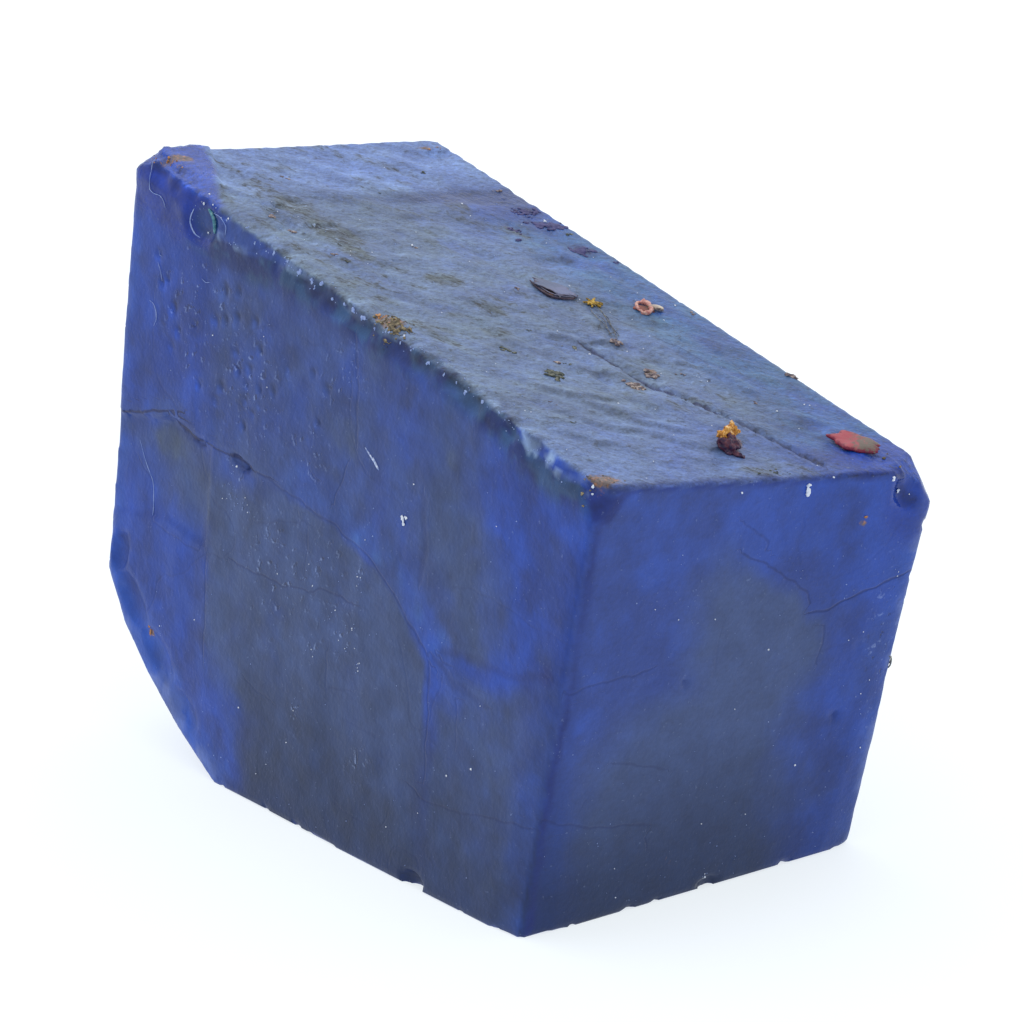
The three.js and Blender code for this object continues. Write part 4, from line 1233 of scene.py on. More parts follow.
# %% A flake
FLAKE_RINGS = (0.0, 0.3, 0.55, 0.75, 0.88, 0.96, 1.0)
FLAKE_SPOKES = 48


def flake(label, along, up, length, width, turn, thick, finish, point=1.0, dish=0.0, tip=0.0, lift=0.0):
    """A thin plate on the top. point above 1 sharpens its ends, dish raises its rim, tip its far side."""
    seed = int(dice.integers(1000))
    shape, faces, rim_share, run_share = [], [], [], []
    for side in (1, -1):
        for ring, spoke in itertools.product(FLAKE_RINGS, range(FLAKE_SPOKES)):
            angle = 2 * math.pi * spoke / FLAKE_SPOKES
            x = math.cos(angle)
            y = math.copysign(abs(math.sin(angle)) ** point, math.sin(angle))
            edge = 1 + 0.1 * math.sin(5 * angle + seed) + 0.06 * math.sin(11 * angle + 2 * seed)
            body = thick / 2 * math.sqrt(max(0.0, 1 - ring**6))
            z = side * body + dish * ring**2 + tip * y * ring
            shape.append((x * ring * edge * length / 2, y * ring * edge * width / 2, z))
            rim_share.append(ring)
            run_share.append(0.5 + 0.5 * x * ring)
    shape = np.array(shape)
    shape[:, 2] += 0.05 * thick * bumps(shape, 0.35, seed) + 0.4 * thick * bumps(shape, 0.9, seed + 1)
    rings = len(FLAKE_RINGS)
    for layer, ring, spoke in itertools.product(range(2), range(rings - 1), range(FLAKE_SPOKES)):
        inner = (layer * rings + ring) * FLAKE_SPOKES
        outer, after = inner + FLAKE_SPOKES, (spoke + 1) % FLAKE_SPOKES
        quad = [inner + spoke, outer + spoke, outer + after, inner + after]
        faces.append(quad if layer == 0 else quad[::-1])
    placed = seat("top", along, up) + laid_on("top", shape, math.radians(turn), lift)
    piece = join_shapes(label, [(placed, faces)], finish)
    for key, values in (("rim", rim_share), ("run", run_share)):
        piece.data.attributes.new(key, "FLOAT", "POINT").data.foreach_set("value", values)
    sealed = bmesh.new()
    sealed.from_mesh(piece.data)
    bmesh.ops.remove_doubles(sealed, verts=sealed.verts, dist=0.002 * MM)
    sealed.to_mesh(piece.data)
    sealed.free()


print("a flake is drawn with", len(FLAKE_RINGS) * FLAKE_SPOKES, "points on each side")

# %% A fibre
FIBRE_SIDES, FIBRE_STEPS, FIBRE_SOFTENINGS = 6, 8, 6


def fibre(route, radius):
    """A fine tube through points in block millimetres, tapering to both ends."""
    route = np.asarray(route, float)
    steps = np.linspace(0, len(route) - 1, FIBRE_STEPS * (len(route) - 1) + 1)
    line = np.array([np.interp(steps, range(len(route)), route[:, axis]) for axis in range(3)]).T
    for _ in range(FIBRE_SOFTENINGS):
        line[1:-1] = (line[:-2] + 2 * line[1:-1] + line[2:]) / 4
    ahead = np.gradient(line, axis=0)
    ahead /= np.linalg.norm(ahead, axis=1)[:, None]
    side = np.cross(ahead, (0.31, 0.17, 0.93))
    side /= np.linalg.norm(side, axis=1)[:, None]
    other = np.cross(ahead, side)
    taper = radius * (0.35 + 0.65 * np.sin(np.linspace(0, math.pi, len(line))) ** 0.5)
    tube, faces = [], []
    for i, corner in itertools.product(range(len(line)), range(FIBRE_SIDES)):
        angle = 2 * math.pi * corner / FIBRE_SIDES
        tube.append(line[i] + taper[i] * (math.cos(angle) * side[i] + math.sin(angle) * other[i]))
    for i, corner in itertools.product(range(len(line) - 1), range(FIBRE_SIDES)):
        after = (corner + 1) % FIBRE_SIDES
        a, b = i * FIBRE_SIDES, (i + 1) * FIBRE_SIDES
        faces.append([a + corner, a + after, b + after, b + corner])
    first_ring, last_ring = range(FIBRE_SIDES), range(len(tube) - FIBRE_SIDES, len(tube))
    faces += [list(first_ring)[::-1], list(last_ring)]
    return np.array(tube), faces


print("a fibre has", FIBRE_SIDES, "sides")

# %% [markdown]
# ## Finishes of the small things
# The crumbs are bits of weathered mother rock: limonite, which is rusty ochre and earthy, and
# darker brown clay. The flakes are thin mineral scales, one of them red. White grit is quartz
# dust from the saw, and the fibres are lint and dry stalk. All of them are dull, so they get a
# high roughness and the index of plain silicates, 1.55. Each has two to four colours broken up
# by noise a few tenths of a millimetre wide, which is how such things look under a lens.

# %% Helpers for dull finishes
def grainy(name, grain_mm, noise_rough):
    """The start of a dull finish: its material, tree, shader, and the noise of its grain."""
    material, tree, shader = new_material(name)
    fill(tree, shader, {"IOR": 1.55, "Specular IOR Level": 0.25})
    spot = add(tree, "ShaderNodeTexCoord").outputs["Object"]
    inputs = {"Vector": spot, "Scale": 1 / (grain_mm * MM), "Detail": 4.0, "Roughness": noise_rough}
    return material, tree, shader, add(tree, "ShaderNodeTexNoise", inputs)


def speckled(name, colours, grain_mm, roughness, bump_mm=0.03):
    """A dull mineral finish: colours along a ramp, mixed by noise of grain_mm."""
    material, tree, shader, noise = grainy(name, grain_mm, 0.65)
    chosen = add(tree, "ShaderNodeValToRGB", {"Fac": noise})
    band = chosen.color_ramp
    while len(band.elements) < len(colours):
        band.elements.new(0.5)
    for i, hex_colour in enumerate(colours):
        band.elements[i].position = 0.34 + 0.32 * i / (len(colours) - 1)
        band.elements[i].color = paint(hex_colour)
    bump = add(tree, "ShaderNodeBump", {"Height": noise, "Strength": 0.7, "Distance": bump_mm * MM})
    fill(tree, shader, {"Base Color": chosen, "Normal": bump, "Roughness": roughness})
    return material


def scale_finish(name, body, rim, far_end, roughness):
    """A thin mineral scale: one colour in the middle, one on the rim, one towards its far end."""
    material, tree, shader, noise = grainy(name, 0.25, 0.6)
    colour = paint(body)
    for key, low, high, over_colour in (("run", 0.85, 1.2, far_end), ("rim", 1.3, 1.52, rim)):
        kept = add(tree, "ShaderNodeAttribute", attribute_name=key).outputs["Fac"]
        total = add(tree, "ShaderNodeMath", {0: kept, 1: noise}, operation="ADD")
        limits = {"Value": total, "From Min": low, "From Max": high}
        share = add(tree, "ShaderNodeMapRange", limits, interpolation_type="SMOOTHSTEP")
        inputs = {0: share, 6: colour, 7: paint(over_colour)}
        colour = add(tree, "ShaderNodeMix", inputs, data_type="RGBA").outputs[2]
    bump = add(tree, "ShaderNodeBump", {"Height": noise, "Strength": 0.6, "Distance": 0.04 * MM})
    fill(tree, shader, {"Base Color": colour, "Normal": bump, "Roughness": roughness})
    return material


print("dull finishes are ready to be mixed")

# %% Finishes of crumbs, flakes, grit and fibres
limonite = speckled("limonite, earthy ochre", ("#70451f", "#b3762c", "#d7a04e", "#efdcb6"), 0.28, 0.6)
earthy_rust = speckled("rust crust, earthy", ("#32332f", "#585042", "#7d7158", "#a59b7e"), 0.22, 0.8)
orange_rust = speckled("rust dust, orange", ("#6a4c3a", "#a8774c", "#cfa67c"), 0.2, 0.8)
brown_clay = speckled("clay, dried pinkish brown", ("#35313b", "#63575c", "#8b7e7c", "#bcafa4"), 0.25, 0.7)
damp_clay = speckled("clay, dark red and damp", ("#1c1633", "#36213c", "#52283a", "#6a3c40"), 0.3, 0.4)
olive_clay = speckled("clay, olive crust", ("#262d33", "#41473f", "#62655a", "#86857c"), 0.25, 0.7)
ochre_scale = speckled("limonite, olive yellow", ("#3a3520", "#705c24", "#b8902c", "#d9bf6c"), 0.2, 0.6)
# white quartz grit, which also stands for painted sparkles
white_quartz_and_sparkles = speckled("quartz dust and sparkles, white", ("#b9c4d8", "#e9eef6"), 0.3, 0.6)
# fine quartz dust, which also makes the pale beads of the painted glints
fine_quartz_and_glint_beads = speckled("quartz dust and glint beads, fine", ("#7288bf", "#98abd6"), 0.3, 0.6)
pale_lint = speckled("lint, pale", ("#5f78b8", "#9fb2dc"), 0.5, 0.7, 0.0)
bruised_stone = speckled("bruised stone, white", ("#6d82b8", "#a5b4d8", "#dbe2f0"), 0.18, 0.7, 0.01)
dry_plant = speckled("plant fibre, dry", ("#333a48", "#5c6068", "#858579"), 0.3, 0.7, 0.01)
red_scale = scale_finish("mineral scale, red", "#a34853", "#74203a", "#6a5f57", 0.4)
coral_scale = scale_finish("mineral scale, brick red", "#7d3f33", "#8a4c44", "#3a2f2a", 0.5)
coral_rim = speckled("mineral scale, coral rim", ("#a56a66", "#c48d84", "#d9b3a4"), 0.3, 0.5)
cream_scale = scale_finish("mineral scale, cream", "#a8988c", "#6a5a58", "#cfc3b2", 0.5)
leaf_scale = scale_finish("mineral scale, grey brown", "#596480", "#474256", "#666d90", 0.45)
leaf_rim = speckled("mineral scale, dark rim", ("#2a2133", "#3d2f3e", "#5a4a56"), 0.3, 0.5)
leaf_line = speckled("mineral scale, pale line", ("#6a6880", "#8b88a2"), 0.3, 0.5)
plum_clay = speckled("clay, plum dark", ("#2c2c58", "#41406e", "#565482"), 0.5, 0.6)
dried_moss = speckled("moss, dried", ("#2a5a6c", "#4a8090", "#7aa6ac"), 0.2, 0.7, 0.01)
print("finishes:", len(bpy.data.materials))

# %% [markdown]
# ## The flakes
# Three kinds of thin scales lie on the top: a red one lifted at its near edge, a small coral one
# with a raised rim and a cream tail, and a long leaf-shaped one. A rim is a thick fibre that
# follows the skin round the flake, because the edge of a real scale curls up and is thicker.

# %% Flakes on the top
LEAF_EDGE = (
    (14.1, 25.75), (13.95, 25.0), (13.85, 24.25), (13.9, 23.6), (14.1, 23.15), (14.55, 22.85),
    (15.2, 22.95), (15.75, 23.3),
)
CORAL_EDGE = (
    (19.3, 22.2), (18.95, 21.7), (18.75, 21.2), (18.85, 20.85), (19.2, 20.85), (19.6, 21.1),
    (19.9, 21.55), (20.0, 22.0), (19.85, 22.3), (19.55, 22.3), (19.3, 22.15),
)
flake("red_flake", 20.3, 3.1, 2.95, 1.65, -50, 0.28, red_scale, point=1.5, tip=0.2, lift=0.2)
flake("coral_flake", 19.4, 21.55, 1.3, 1.0, -10, 0.14, coral_scale, lift=0.06)
flake("coral_flake_tail", 20.1, 21.3, 0.9, 0.5, -25, 0.2, cream_scale, point=1.1, lift=0.14)
flake("leaf_flake", 14.75, 24.3, 2.9, 1.5, -66, 0.1, leaf_scale, point=1.5, dish=0.04, lift=0.1)


def edging(places, lift, radius):
    """A raised rim: a thick fibre that follows the skin through places of the top."""
    return fibre(over("top", *((along, up, lift) for along, up in places)), radius)


join_shapes("leaf_flake_rim", [edging(LEAF_EDGE, 0.1, 0.075)], leaf_rim)
inner_leaf_edge = [(along + 0.17, up + 0.13) for along, up in LEAF_EDGE[1:-1]]
join_shapes("leaf_flake_line", [edging(inner_leaf_edge, 0.18, 0.03)], leaf_line)
crust("coral_flake_rim", [edging(CORAL_EDGE, 0.12, 0.13)], coral_rim, 0.035, 0.09)

# %% [markdown]
# ## The ochre crumb and its dark root
# The tallest thing on the stone stands near its front: a spiky crest of bright limonite on a
# dark, damp-looking foot. It is built up from small lumps, the lower ones dark, the upper ones
# ochre, because one smooth lump would look like putty.

# %% The ochre crumb
CRUMB_ALONG, CRUMB_UP = 11.75, 3.7
ROOT_LUMPS = (  # each lump's place beside the crumb's middle, its size, its height and its lift
    (-0.45, 0.05, 0.6, 0.65, 0.45), (-0.25, -0.3, 0.75, 0.75, 0.4), (0.2, -0.2, 0.7, 0.65, 0.45),
    (-0.05, 0.2, 0.75, 0.75, 0.5), (0.0, -0.8, 0.55, 0.3, 0.3), (0.2, -1.0, 0.35, 0.2, 0.3),
    (0.35, 0.2, 0.45, 0.65, 0.5), (-0.45, -0.6, 0.45, 0.2, 0.3),
)
CREST_LUMPS = (
    (-0.55, 0.3, 0.34, 0.36, 1.9), (-0.35, 0.35, 0.42, 0.38, 2.0), (-0.1, 0.42, 0.46, 0.42, 2.0),
    (0.15, 0.5, 0.46, 0.44, 2.0), (0.38, 0.6, 0.42, 0.46, 2.0), (0.4, 0.72, 0.3, 0.4, 2.7),
    (0.62, 0.55, 0.4, 0.44, 2.0), (0.75, 0.5, 0.34, 0.4, 1.9), (0.1, 0.3, 0.36, 0.36, 1.5),
    (-0.2, 0.25, 0.32, 0.32, 1.6), (0.45, 0.4, 0.34, 0.4, 1.5),
)
for label, lumps, rough, finish, cell_mm, rough_mm in (
    ("ochre_crumb_root", ROOT_LUMPS, 0.35, damp_clay, 0.05, 0.06),
    ("ochre_crumb_crest", CREST_LUMPS, 0.5, limonite, 0.04, 0.07),
):
    shapes = [
        crumb("top", CRUMB_ALONG + dx, CRUMB_UP + dy, size, height, lift, 3, rough)
        for dx, dy, size, height, lift in lumps
    ]
    crust(label, shapes, finish, cell_mm, rough_mm)

# %% [markdown]
# ## Small crumbs and rusty crusts
# Rust has grown where the crystal sat against iron-rich rock: on the far left corner, half way
# along the long edge, and at both near corners. Brown, olive and plum-coloured clay lies about
# the top, the plum one in a row along its right edge. Each patch is a cluster of small crumbs. A
# cluster is a place, a spread and a number, and the crumbs inside it are drawn at random from a
# seeded generator, so the stone is the same every time.

# %% Clusters of crumbs
def cluster(name, along, up, spread_along, spread_up, count, size, height_share):
    """Crumbs scattered round a place, sized between half and one and a half times size."""
    made = []
    for _ in range(count):
        a = along + spread_along * dice.normal()
        u = up + spread_up * dice.normal()
        wide = size * dice.uniform(0.5, 1.5)
        made.append(crumb(name, a, u, wide, height_share * wide, 0.15))
    return made


def tufts(height_share, *places):
    """The rows of small clusters of four crumbs, each at its own place on the top."""
    return [("top", along, up, 0.16, 0.14, 4, size, height_share) for along, up, size in places]


RUST = (  # face, along, up, spread along, spread up, number, size, height for its size
    ("top", 0.7, 20.4, 0.4, 0.55, 130, 0.15, 0.5), ("top", 0.25, 19.4, 0.3, 0.3, 50, 0.14, 0.5),
    ("top", 0.5, 0.9, 0.9, 0.3, 40, 0.13, 0.35), ("near", 23.9, 23.1, 0.25, 0.12, 10, 0.16, 0.4),
)
ORANGE_RUST = (
    ("top", 0.6, 21.5, 0.25, 0.18, 22, 0.14, 0.5), ("left", 38.4, 34.95, 0.9, 0.1, 44, 0.12, 0.5),
    ("left", 37.3, 35.0, 0.3, 0.1, 14, 0.17, 0.6), ("top", 20.6, 45.5, 0.5, 0.2, 16, 0.13, 0.4),
    ("near", 21.3, 20.6, 0.08, 0.08, 4, 0.16, 0.5), ("left", 36.9, 7.3, 0.1, 0.1, 4, 0.16, 0.4),
)
BROWN_CLAY = (
    ("top", 13.5, 13.1, 0.2, 0.28, 16, 0.26, 0.45), ("top", 11.15, 11.85, 0.22, 0.38, 20, 0.26, 0.5),
    ("top", 14.1, 17.2, 0.16, 0.2, 10, 0.24, 0.5),
    *tufts(
        0.3, (6.8, 41.1, 0.2), (2.2, 35.3, 0.22), (2.6, 33.7, 0.22), (3.1, 30.1, 0.2),
        (9.2, 30.9, 0.26), (21.3, 38.9, 0.3), (22.4, 20.6, 0.2), (22.9, 12.0, 0.34),
        (12.2, 24.5, 0.18), (17.8, 8.9, 0.16), (8.5, 15.4, 0.24), (15.6, 13.0, 0.16),
        (4.2, 10.1, 0.16),
    ),
)
OLIVE_CLAY = (
    ("top", 6.9, 13.6, 0.22, 0.36, 24, 0.3, 0.5), ("top", 12.6, 0.9, 0.5, 0.25, 14, 0.16, 0.25),
    *tufts(
        0.25, (5.9, 17.0, 0.26), (6.2, 16.5, 0.22), (8.9, 15.0, 0.2), (10.8, 17.0, 0.22),
        (3.7, 7.5, 0.16), (21.9, 32.2, 0.22), (3.4, 29.1, 0.18), (9.2, 19.2, 0.16),
        (17.6, 41.5, 0.18), (12.5, 38.6, 0.16),
    ),
)
PLUM_CLAY = (
    ("top", 21.2, 35.7, 0.5, 0.3, 34, 0.34, 0.16), ("top", 20.8, 33.9, 0.3, 0.2, 20, 0.34, 0.2),
    ("top", 21.6, 33.4, 0.35, 0.2, 24, 0.34, 0.2), ("top", 20.7, 30.2, 0.28, 0.2, 20, 0.32, 0.2),
    ("top", 21.3, 29.9, 0.28, 0.2, 20, 0.32, 0.2), ("top", 18.3, 33.0, 0.25, 0.35, 14, 0.26, 0.12),
    ("top", 17.3, 31.5, 0.14, 0.1, 6, 0.2, 0.4), ("top", 22.4, 28.1, 0.16, 0.12, 6, 0.2, 0.4),
)
for label, rows, finish, cell_mm, rough_mm in (
    ("rust_crust", RUST, earthy_rust, 0.05, 0.06),
    ("orange_rust", ORANGE_RUST, orange_rust, 0.04, 0.04),
    ("brown_crumbs", BROWN_CLAY, brown_clay, 0.04, 0.05),
    ("olive_crumbs", OLIVE_CLAY, olive_clay, 0.04, 0.04),
    ("plum_crust", PLUM_CLAY, plum_clay, 0.045, 0.05),
):
    crust(label, [bit for row in rows for bit in cluster(*row)], finish, cell_mm, rough_mm)

# %% [markdown]
# ## The yellow crumb and the white lumps
# The yellow crumb by the leaf-shaped flake is a small star: a few lumps with short arms. The
# white lumps are the largest bits of quartz, set one by one where they show.

# %% The yellow crumb and the white lumps
YELLOW_MIDDLE = (16.25, 22.45)
YELLOW_TIPS = (
    (15.55, 22.55, 0.1), (16.0, 22.85, 0.16), (16.75, 22.95, 0.14), (16.95, 22.3, 0.12),
    (16.5, 21.95, 0.08), (15.85, 21.95, 0.08), (16.3, 22.6, 0.3), (15.7, 22.25, 0.1),
    (16.8, 22.1, 0.1),
)
yellow_bits = cluster("top", *YELLOW_MIDDLE, 0.16, 0.1, 10, 0.26, 0.6)
yellow_bits += [fibre(over("top", (*YELLOW_MIDDLE, 0.12), tip), 0.075) for tip in YELLOW_TIPS]
crust("olive_yellow_crumb", yellow_bits, ochre_scale, 0.035, 0.03)
WHITE_BITS = (  # face, along, up, size
    ("left", 12.75, 20.15, 0.3), ("left", 12.55, 20.3, 0.2), ("left", 12.9, 20.3, 0.2),
    ("left", 12.7, 19.9, 0.22), ("near", 17.0, 23.12, 0.34), ("near", 17.02, 23.4, 0.26),
    ("near", 16.98, 22.9, 0.26), ("near", 12.3, 0.8, 0.18), ("near", 12.25, 1.0, 0.14),
    ("near", 12.35, 0.6, 0.12), ("left", 15.2, 30.1, 0.18), ("left", 15.2, 29.85, 0.2),
    ("left", -2.4, 25.75, 0.2), ("left", -2.5, 25.35, 0.14), ("near", 23.1, 22.6, 0.22),
    ("near", 23.9, 21.6, 0.18), ("top", 21.4, 34.2, 0.2), ("top", 15.0, 25.6, 0.2),
)
white_bits = [crumb(*place, size, 0.7 * size, rough=0.6) for *place, size in WHITE_BITS]
crust("white_lumps", white_bits, white_quartz_and_sparkles, 0.035, 0.03)

# %% [markdown]
# ## White grit, and painted sparkles and glints
# Saw dust of quartz has settled in every little hollow, and more of it along the worn long edge.
# Most grains are only a few hundredths of a millimetre wide, so a coarse ball is shape enough.
# The wider ones are white and also stand for the sparkles of the skin, which are painted
# highlights, and the finer ones are only pale. A row of pale beads and grains along the long edge
# stands for its glints, painted highlights too.

# %% Places of the grit
GRIT_CLUSTERS = (  # face, along, up, spread along, spread up, number
    ("left", 29.2, 17.7, 0.5, 0.9, 12), ("left", 27.6, 16.9, 0.6, 0.6, 6),
    ("left", 19.6, 16.0, 1.0, 0.6, 8), ("left", 16.4, 15.6, 0.25, 0.5, 9),
    ("left", 18.6, 12.8, 0.4, 0.5, 8), ("left", 17.1, 12.0, 0.6, 0.7, 10),
    ("left", 20.1, 10.5, 0.4, 0.15, 6), ("left", 15.8, 10.9, 0.2, 0.5, 7),
    ("left", 21.4, 7.3, 0.15, 0.4, 6), ("left", 27.5, 25.5, 1.6, 1.4, 18),
    ("left", 34.0, 33.0, 0.8, 0.9, 14), ("left", 35.9, 7.6, 0.9, 0.4, 6), ("left", 8.0, 7.0, 3.0, 2.5, 14),
    ("near", 22.0, 9.0, 0.8, 2.5, 12), ("near", 14.0, 5.0, 5.0, 3.0, 20), ("near", 9.5, 18.5, 1.6, 1.2, 8),
    ("near", 12.2, 0.9, 0.12, 0.25, 5), ("near", 24.0, 14.5, 0.4, 2.5, 10),
    ("near", 8.0, 1.8, 3.0, 1.0, 8), ("top", 16.1, 12.0, 0.5, 0.8, 16), ("top", 14.6, 10.6, 0.8, 1.0, 10),
    ("top", 3.0, 33.5, 1.0, 3.5, 16), ("top", 10.0, 4.0, 6.0, 2.0, 10), ("top", 16.5, 20.0, 2.5, 3.0, 20),
    ("top", 2.0, 10.0, 0.6, 6.0, 20),
)
GRIT_GRAINS = (  # face, along, up, size
    ("left", 12.1, 22.3, 0.1), ("left", 28.8, 19.2, 0.12), ("left", 26.9, 5.3, 0.1),
    ("left", 7.1, 7.1, 0.12), ("left", 5.0, 8.1, 0.12), ("left", 32.0, 26.2, 0.1),
    ("left", 34.3, 33.4, 0.16), ("left", 34.5, 33.9, 0.12), ("left", 33.5, 33.5, 0.1),
    ("left", 31.9, 33.0, 0.1), ("left", 33.8, 31.8, 0.14), ("left", 37.8, 35.8, 0.1),
    ("near", 12.3, 23.9, 0.12), ("near", 18.8, 23.5, 0.12), ("near", 23.1, 22.7, 0.14),
    ("near", 23.9, 21.5, 0.14), ("near", 1.7, 21.1, 0.14), ("near", 15.3, 14.0, 0.1),
    ("near", 18.1, 6.3, 0.12), ("near", 24.6, 21.3, 0.08), ("top", 9.3, 31.0, 0.16),
    ("top", 21.5, 34.4, 0.12), ("top", 14.5, 23.3, 0.1), ("top", 19.7, 20.0, 0.1),
    ("top", 11.2, 15.9, 0.14), ("top", 17.0, 36.8, 0.12), ("top", 16.3, 24.8, 0.12),
    ("top", 21.9, 21.8, 0.12), ("top", 14.1, 17.4, 0.1), ("top", 21.1, 8.5, 0.1),
    ("top", 18.5, 7.8, 0.1), ("top", 8.5, 9.6, 0.1),
)
GLINT_BEADS = (  # along, up, size, on the left face
    (24.6, 31.5, 0.36), (23.4, 31.25, 0.28), (22.6, 31.15, 0.32), (27.2, 32.0, 0.2), (19.5, 30.35, 0.28),
    (18.4, 30.15, 0.32), (12.3, 29.0, 0.24), (8.9, 28.2, 0.24), (7.4, 28.0, 0.26), (32.0, 32.9, 0.14),
    (29.0, 32.2, 0.14), (25.9, 31.8, 0.18), (21.3, 30.6, 0.18), (16.0, 29.9, 0.16), (15.0, 29.5, 0.16),
    (10.8, 28.7, 0.16), (30.2, 32.9, 0.16), (28.3, 32.6, 0.14), (26.4, 31.9, 0.14), (20.4, 30.5, 0.16),
    (17.3, 29.8, 0.16), (13.9, 29.4, 0.16), (9.8, 28.5, 0.14), (5.9, 27.8, 0.14), (23.0, 30.9, 0.16),
)
LOOSE_GRIT = (  # face, how far along and up it reaches, and how many grains
    ("left", 38.0, 24.0, 60), ("near", 23.0, 22.0, 45), ("top", 22.0, 44.0, 260),
    ("right", 38.0, 22.0, 60), ("far", 20.0, 22.0, 40), ("cut", 20.0, 12.0, 20),
)
print("groups of grit:", len(GRIT_CLUSTERS), "and single grains:", len(GRIT_GRAINS))

# %% Grit
FINE_GRAIN = (0.03, 0.08)
WHITE_IN_CLUSTER, WHITE_IF_LOOSE = 0.068, 0.073  # mm, above which a grain is white
EDGE_GRAINS, EDGE_GRAIN = 80, (0.05, 0.12)
grit, pale_grains_and_glint_beads = [], []
for name, along, up, spread_along, spread_up, count in GRIT_CLUSTERS:
    for _ in range(count):
        wide = dice.uniform(*FINE_GRAIN)
        a, u = along + spread_along * dice.normal(), up + spread_up * dice.normal()
        grain_of_dust = crumb(name, a, u, wide, wide, 0.2, 1)
        (grit if wide > WHITE_IN_CLUSTER else pale_grains_and_glint_beads).append(grain_of_dust)
for name, along, up, wide in GRIT_GRAINS:
    grit.append(crumb(name, along, up, wide, 0.8 * wide))
for name, width, height, count in LOOSE_GRIT:
    for _ in range(count):
        wide = dice.uniform(*FINE_GRAIN)
        a, u = dice.uniform(0.5, width), dice.uniform(0.5, height)
        grain_of_dust = crumb(name, a, u, wide, wide, 0.15, 1)
        (grit if wide > WHITE_IF_LOOSE else pale_grains_and_glint_beads).append(grain_of_dust)
print("grains so far:", len(grit), "white and", len(pale_grains_and_glint_beads), "pale")

# %% Beads and grains for the painted glints of the long edge
for along, up, wide in GLINT_BEADS:
    for _ in range(3):
        a, u = along + 0.24 * wide * dice.normal(), up + 0.24 * wide * dice.normal()
        pale_grains_and_glint_beads.append(crumb("left", a, u, 0.7 * wide, 0.4 * wide, 0.1, 2, 0.6))
for _ in range(EDGE_GRAINS):
    run = dice.uniform(2, 36)
    wide = dice.uniform(*EDGE_GRAIN)
    beside = np.interp(run, RIM_RUN, RIM_ACROSS) + dice.normal(0, 0.22)
    place = ("left", run + LONG_EDGE_START[0], long_edge_up(run) + beside)
    if beside > 0:
        place = ("top", beside, run)
    pale_grains_and_glint_beads.append(crumb(*place, wide, 0.6 * wide, 0.2, 1))
join_shapes("fine_grit_and_glint_beads", pale_grains_and_glint_beads, fine_quartz_and_glint_beads)
join_shapes("white_grit_and_sparkles", grit, white_quartz_and_sparkles)

# %% [markdown]
# ## Fibres
# A dry plant fibre with finer strands lies by the yellow crumb. Pale lint clings to the far left
# corner and round the oval chip, with a green strand of moss inside the chip. A dark thread
# sticks out of the right upright edge, and the white scratch on the left face is a row of raised
# burrs, so it is drawn as two flat fibres that are half sunk in the skin.

# %% Strands of the fibres
STALK = (  # each strand is its radius, then places on the face, each along, up and lift
    (
        0.035, (16.2, 22.2, 0.08), (15.9, 21.2, 0.2), (15.4, 19.8, 0.12), (15.0, 18.8, 0.15),
        (14.3, 17.4, 0.08),
    ),
    (0.024, (15.6, 21.9, 0.05), (15.1, 20.8, 0.1), (14.9, 19.6, 0.1), (14.5, 18.2, 0.05)),
    (0.026, (15.9, 21.0, 0.08), (15.7, 20.2, 0.16), (15.2, 19.2, 0.1), (14.9, 18.0, 0.05)),
    (0.022, (14.9, 19.9, 0.1), (14.4, 19.3, 0.12), (14.0, 18.9, 0.05)),
    (0.022, (15.5, 18.9, 0.1), (14.9, 18.4, 0.15), (14.2, 18.2, 0.05)),
    (0.022, (15.4, 21.0, 0.06), (15.3, 20.0, 0.1), (14.6, 18.7, 0.08), (14.2, 17.8, 0.05)),
)
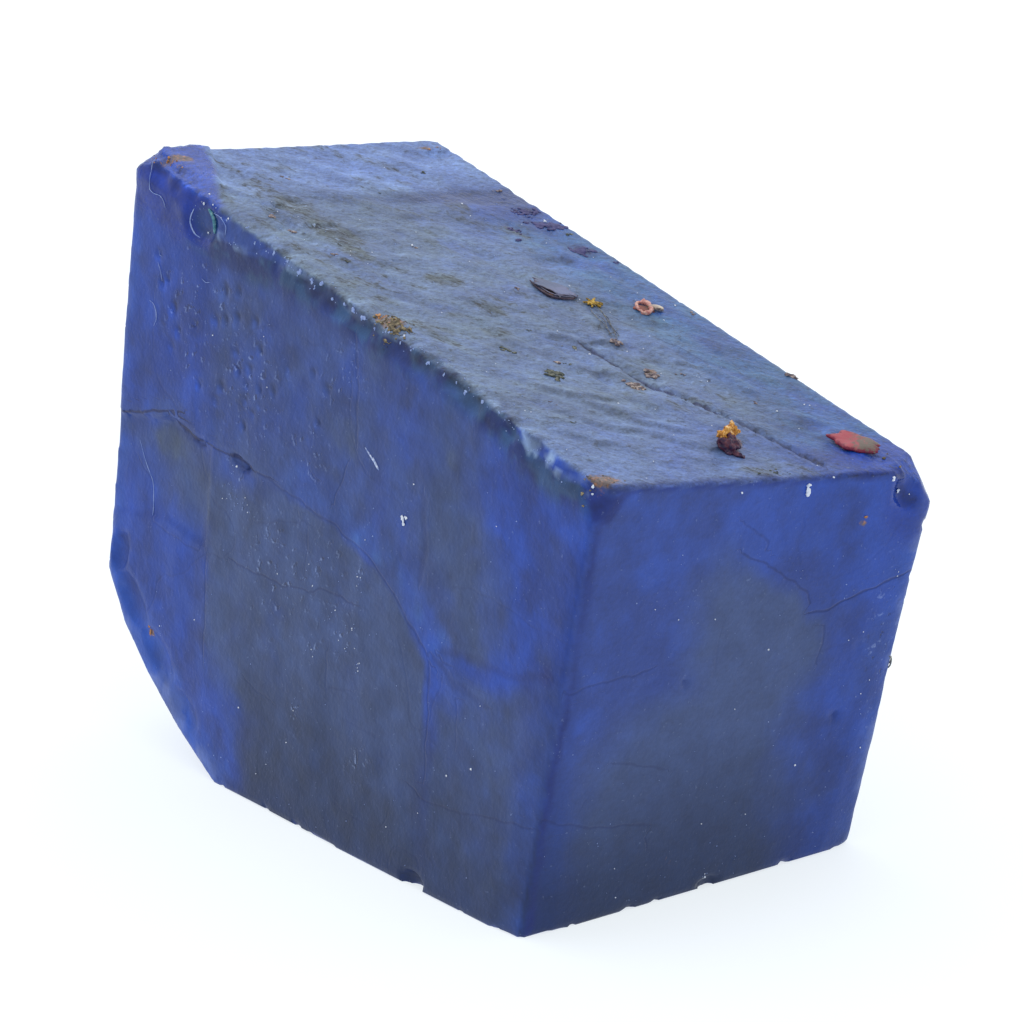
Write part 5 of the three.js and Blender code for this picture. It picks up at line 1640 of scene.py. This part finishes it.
LINT = (
    (
        0.018, (39.8, 35.1, 0.1), (39.75, 34.8, 0.16), (39.6, 34.3, 0.12), (39.5, 33.8, 0.1),
        (39.3, 33.3, 0.08), (38.9, 33.1, 0.05), (38.2, 33.1, 0.05), (37.8, 32.9, 0.05),
        (37.6, 32.5, 0.03),
    ),
    (
        0.022, (33.2, 33.1, 0.06), (32.5, 33.0, 0.12), (32.0, 32.7, 0.1), (31.7, 32.5, 0.08),
        (31.6, 32.1, 0.04),
    ),
    (
        0.045, (35.2, 33.0, 0.0), (35.5, 32.6, 0.01), (35.5, 32.1, 0.01), (35.3, 31.7, 0.0),
        (34.9, 31.4, 0.0), (34.4, 31.3, -0.02),
    ),
    (
        0.018, (38.7, 26.8, 0.03), (38.2, 26.7, 0.05), (37.9, 26.3, 0.05), (37.85, 25.8, 0.04),
        (38.1, 25.4, 0.02),
    ),
    (0.016, (38.0, 30.0, 0.02), (38.1, 29.7, 0.04), (37.9, 29.55, 0.04), (37.6, 29.6, 0.02)),
    (0.018, (33.5, 29.2, 0.02), (33.1, 29.05, 0.04), (32.75, 29.15, 0.02)),
    (0.016, (38.0, 29.2, 0.03), (37.6, 28.8, 0.06), (37.7, 28.2, 0.03)),
    (
        0.022, (39.3, 18.2, 0.0), (38.4, 17.0, 0.01), (37.5, 16.1, 0.01), (37.2, 14.6, 0.01),
        (37.1, 13.2, 0.0),
    ),
)
SCRATCH = (
    (0.05, (16.75, 23.25, 0.0), (16.3, 22.95, 0.01), (15.85, 22.65, 0.01), (15.4, 22.35, 0.0)),
    (0.07, (16.0, 22.85, 0.0), (15.6, 22.5, 0.02), (15.35, 22.3, 0.0)),
)
STRAND = (
    (
        0.12, (33.85, 33.2, 0.02), (33.55, 33.0, 0.06), (33.35, 32.6, 0.06), (33.2, 32.2, 0.04),
        (33.1, 31.9, 0.02),
    ),
)
THREAD = (
    (0.05, (24.4, 11.5, 0.0), (24.75, 11.3, 0.1), (24.7, 10.9, 0.15), (24.5, 10.7, 0.0)),
    (0.035, (24.5, 11.0, 0.0), (24.9, 11.1, 0.1), (24.8, 11.4, 0.05)),
)
print("strands of the stalk:", len(STALK), "and of the lint:", len(LINT))

# %% Fibres
for label, name, strands, finish in (
    ("plant_fibre", "top", STALK, dry_plant),
    ("pale_lint", "left", LINT, pale_lint),
    ("white_scratch", "left", SCRATCH, bruised_stone),
    ("green_strand", "left", STRAND, dried_moss),
    ("dark_thread", "near", THREAD, dry_plant),
):
    join_shapes(label, [fibre(over(name, *places), radius) for radius, *places in strands], finish)
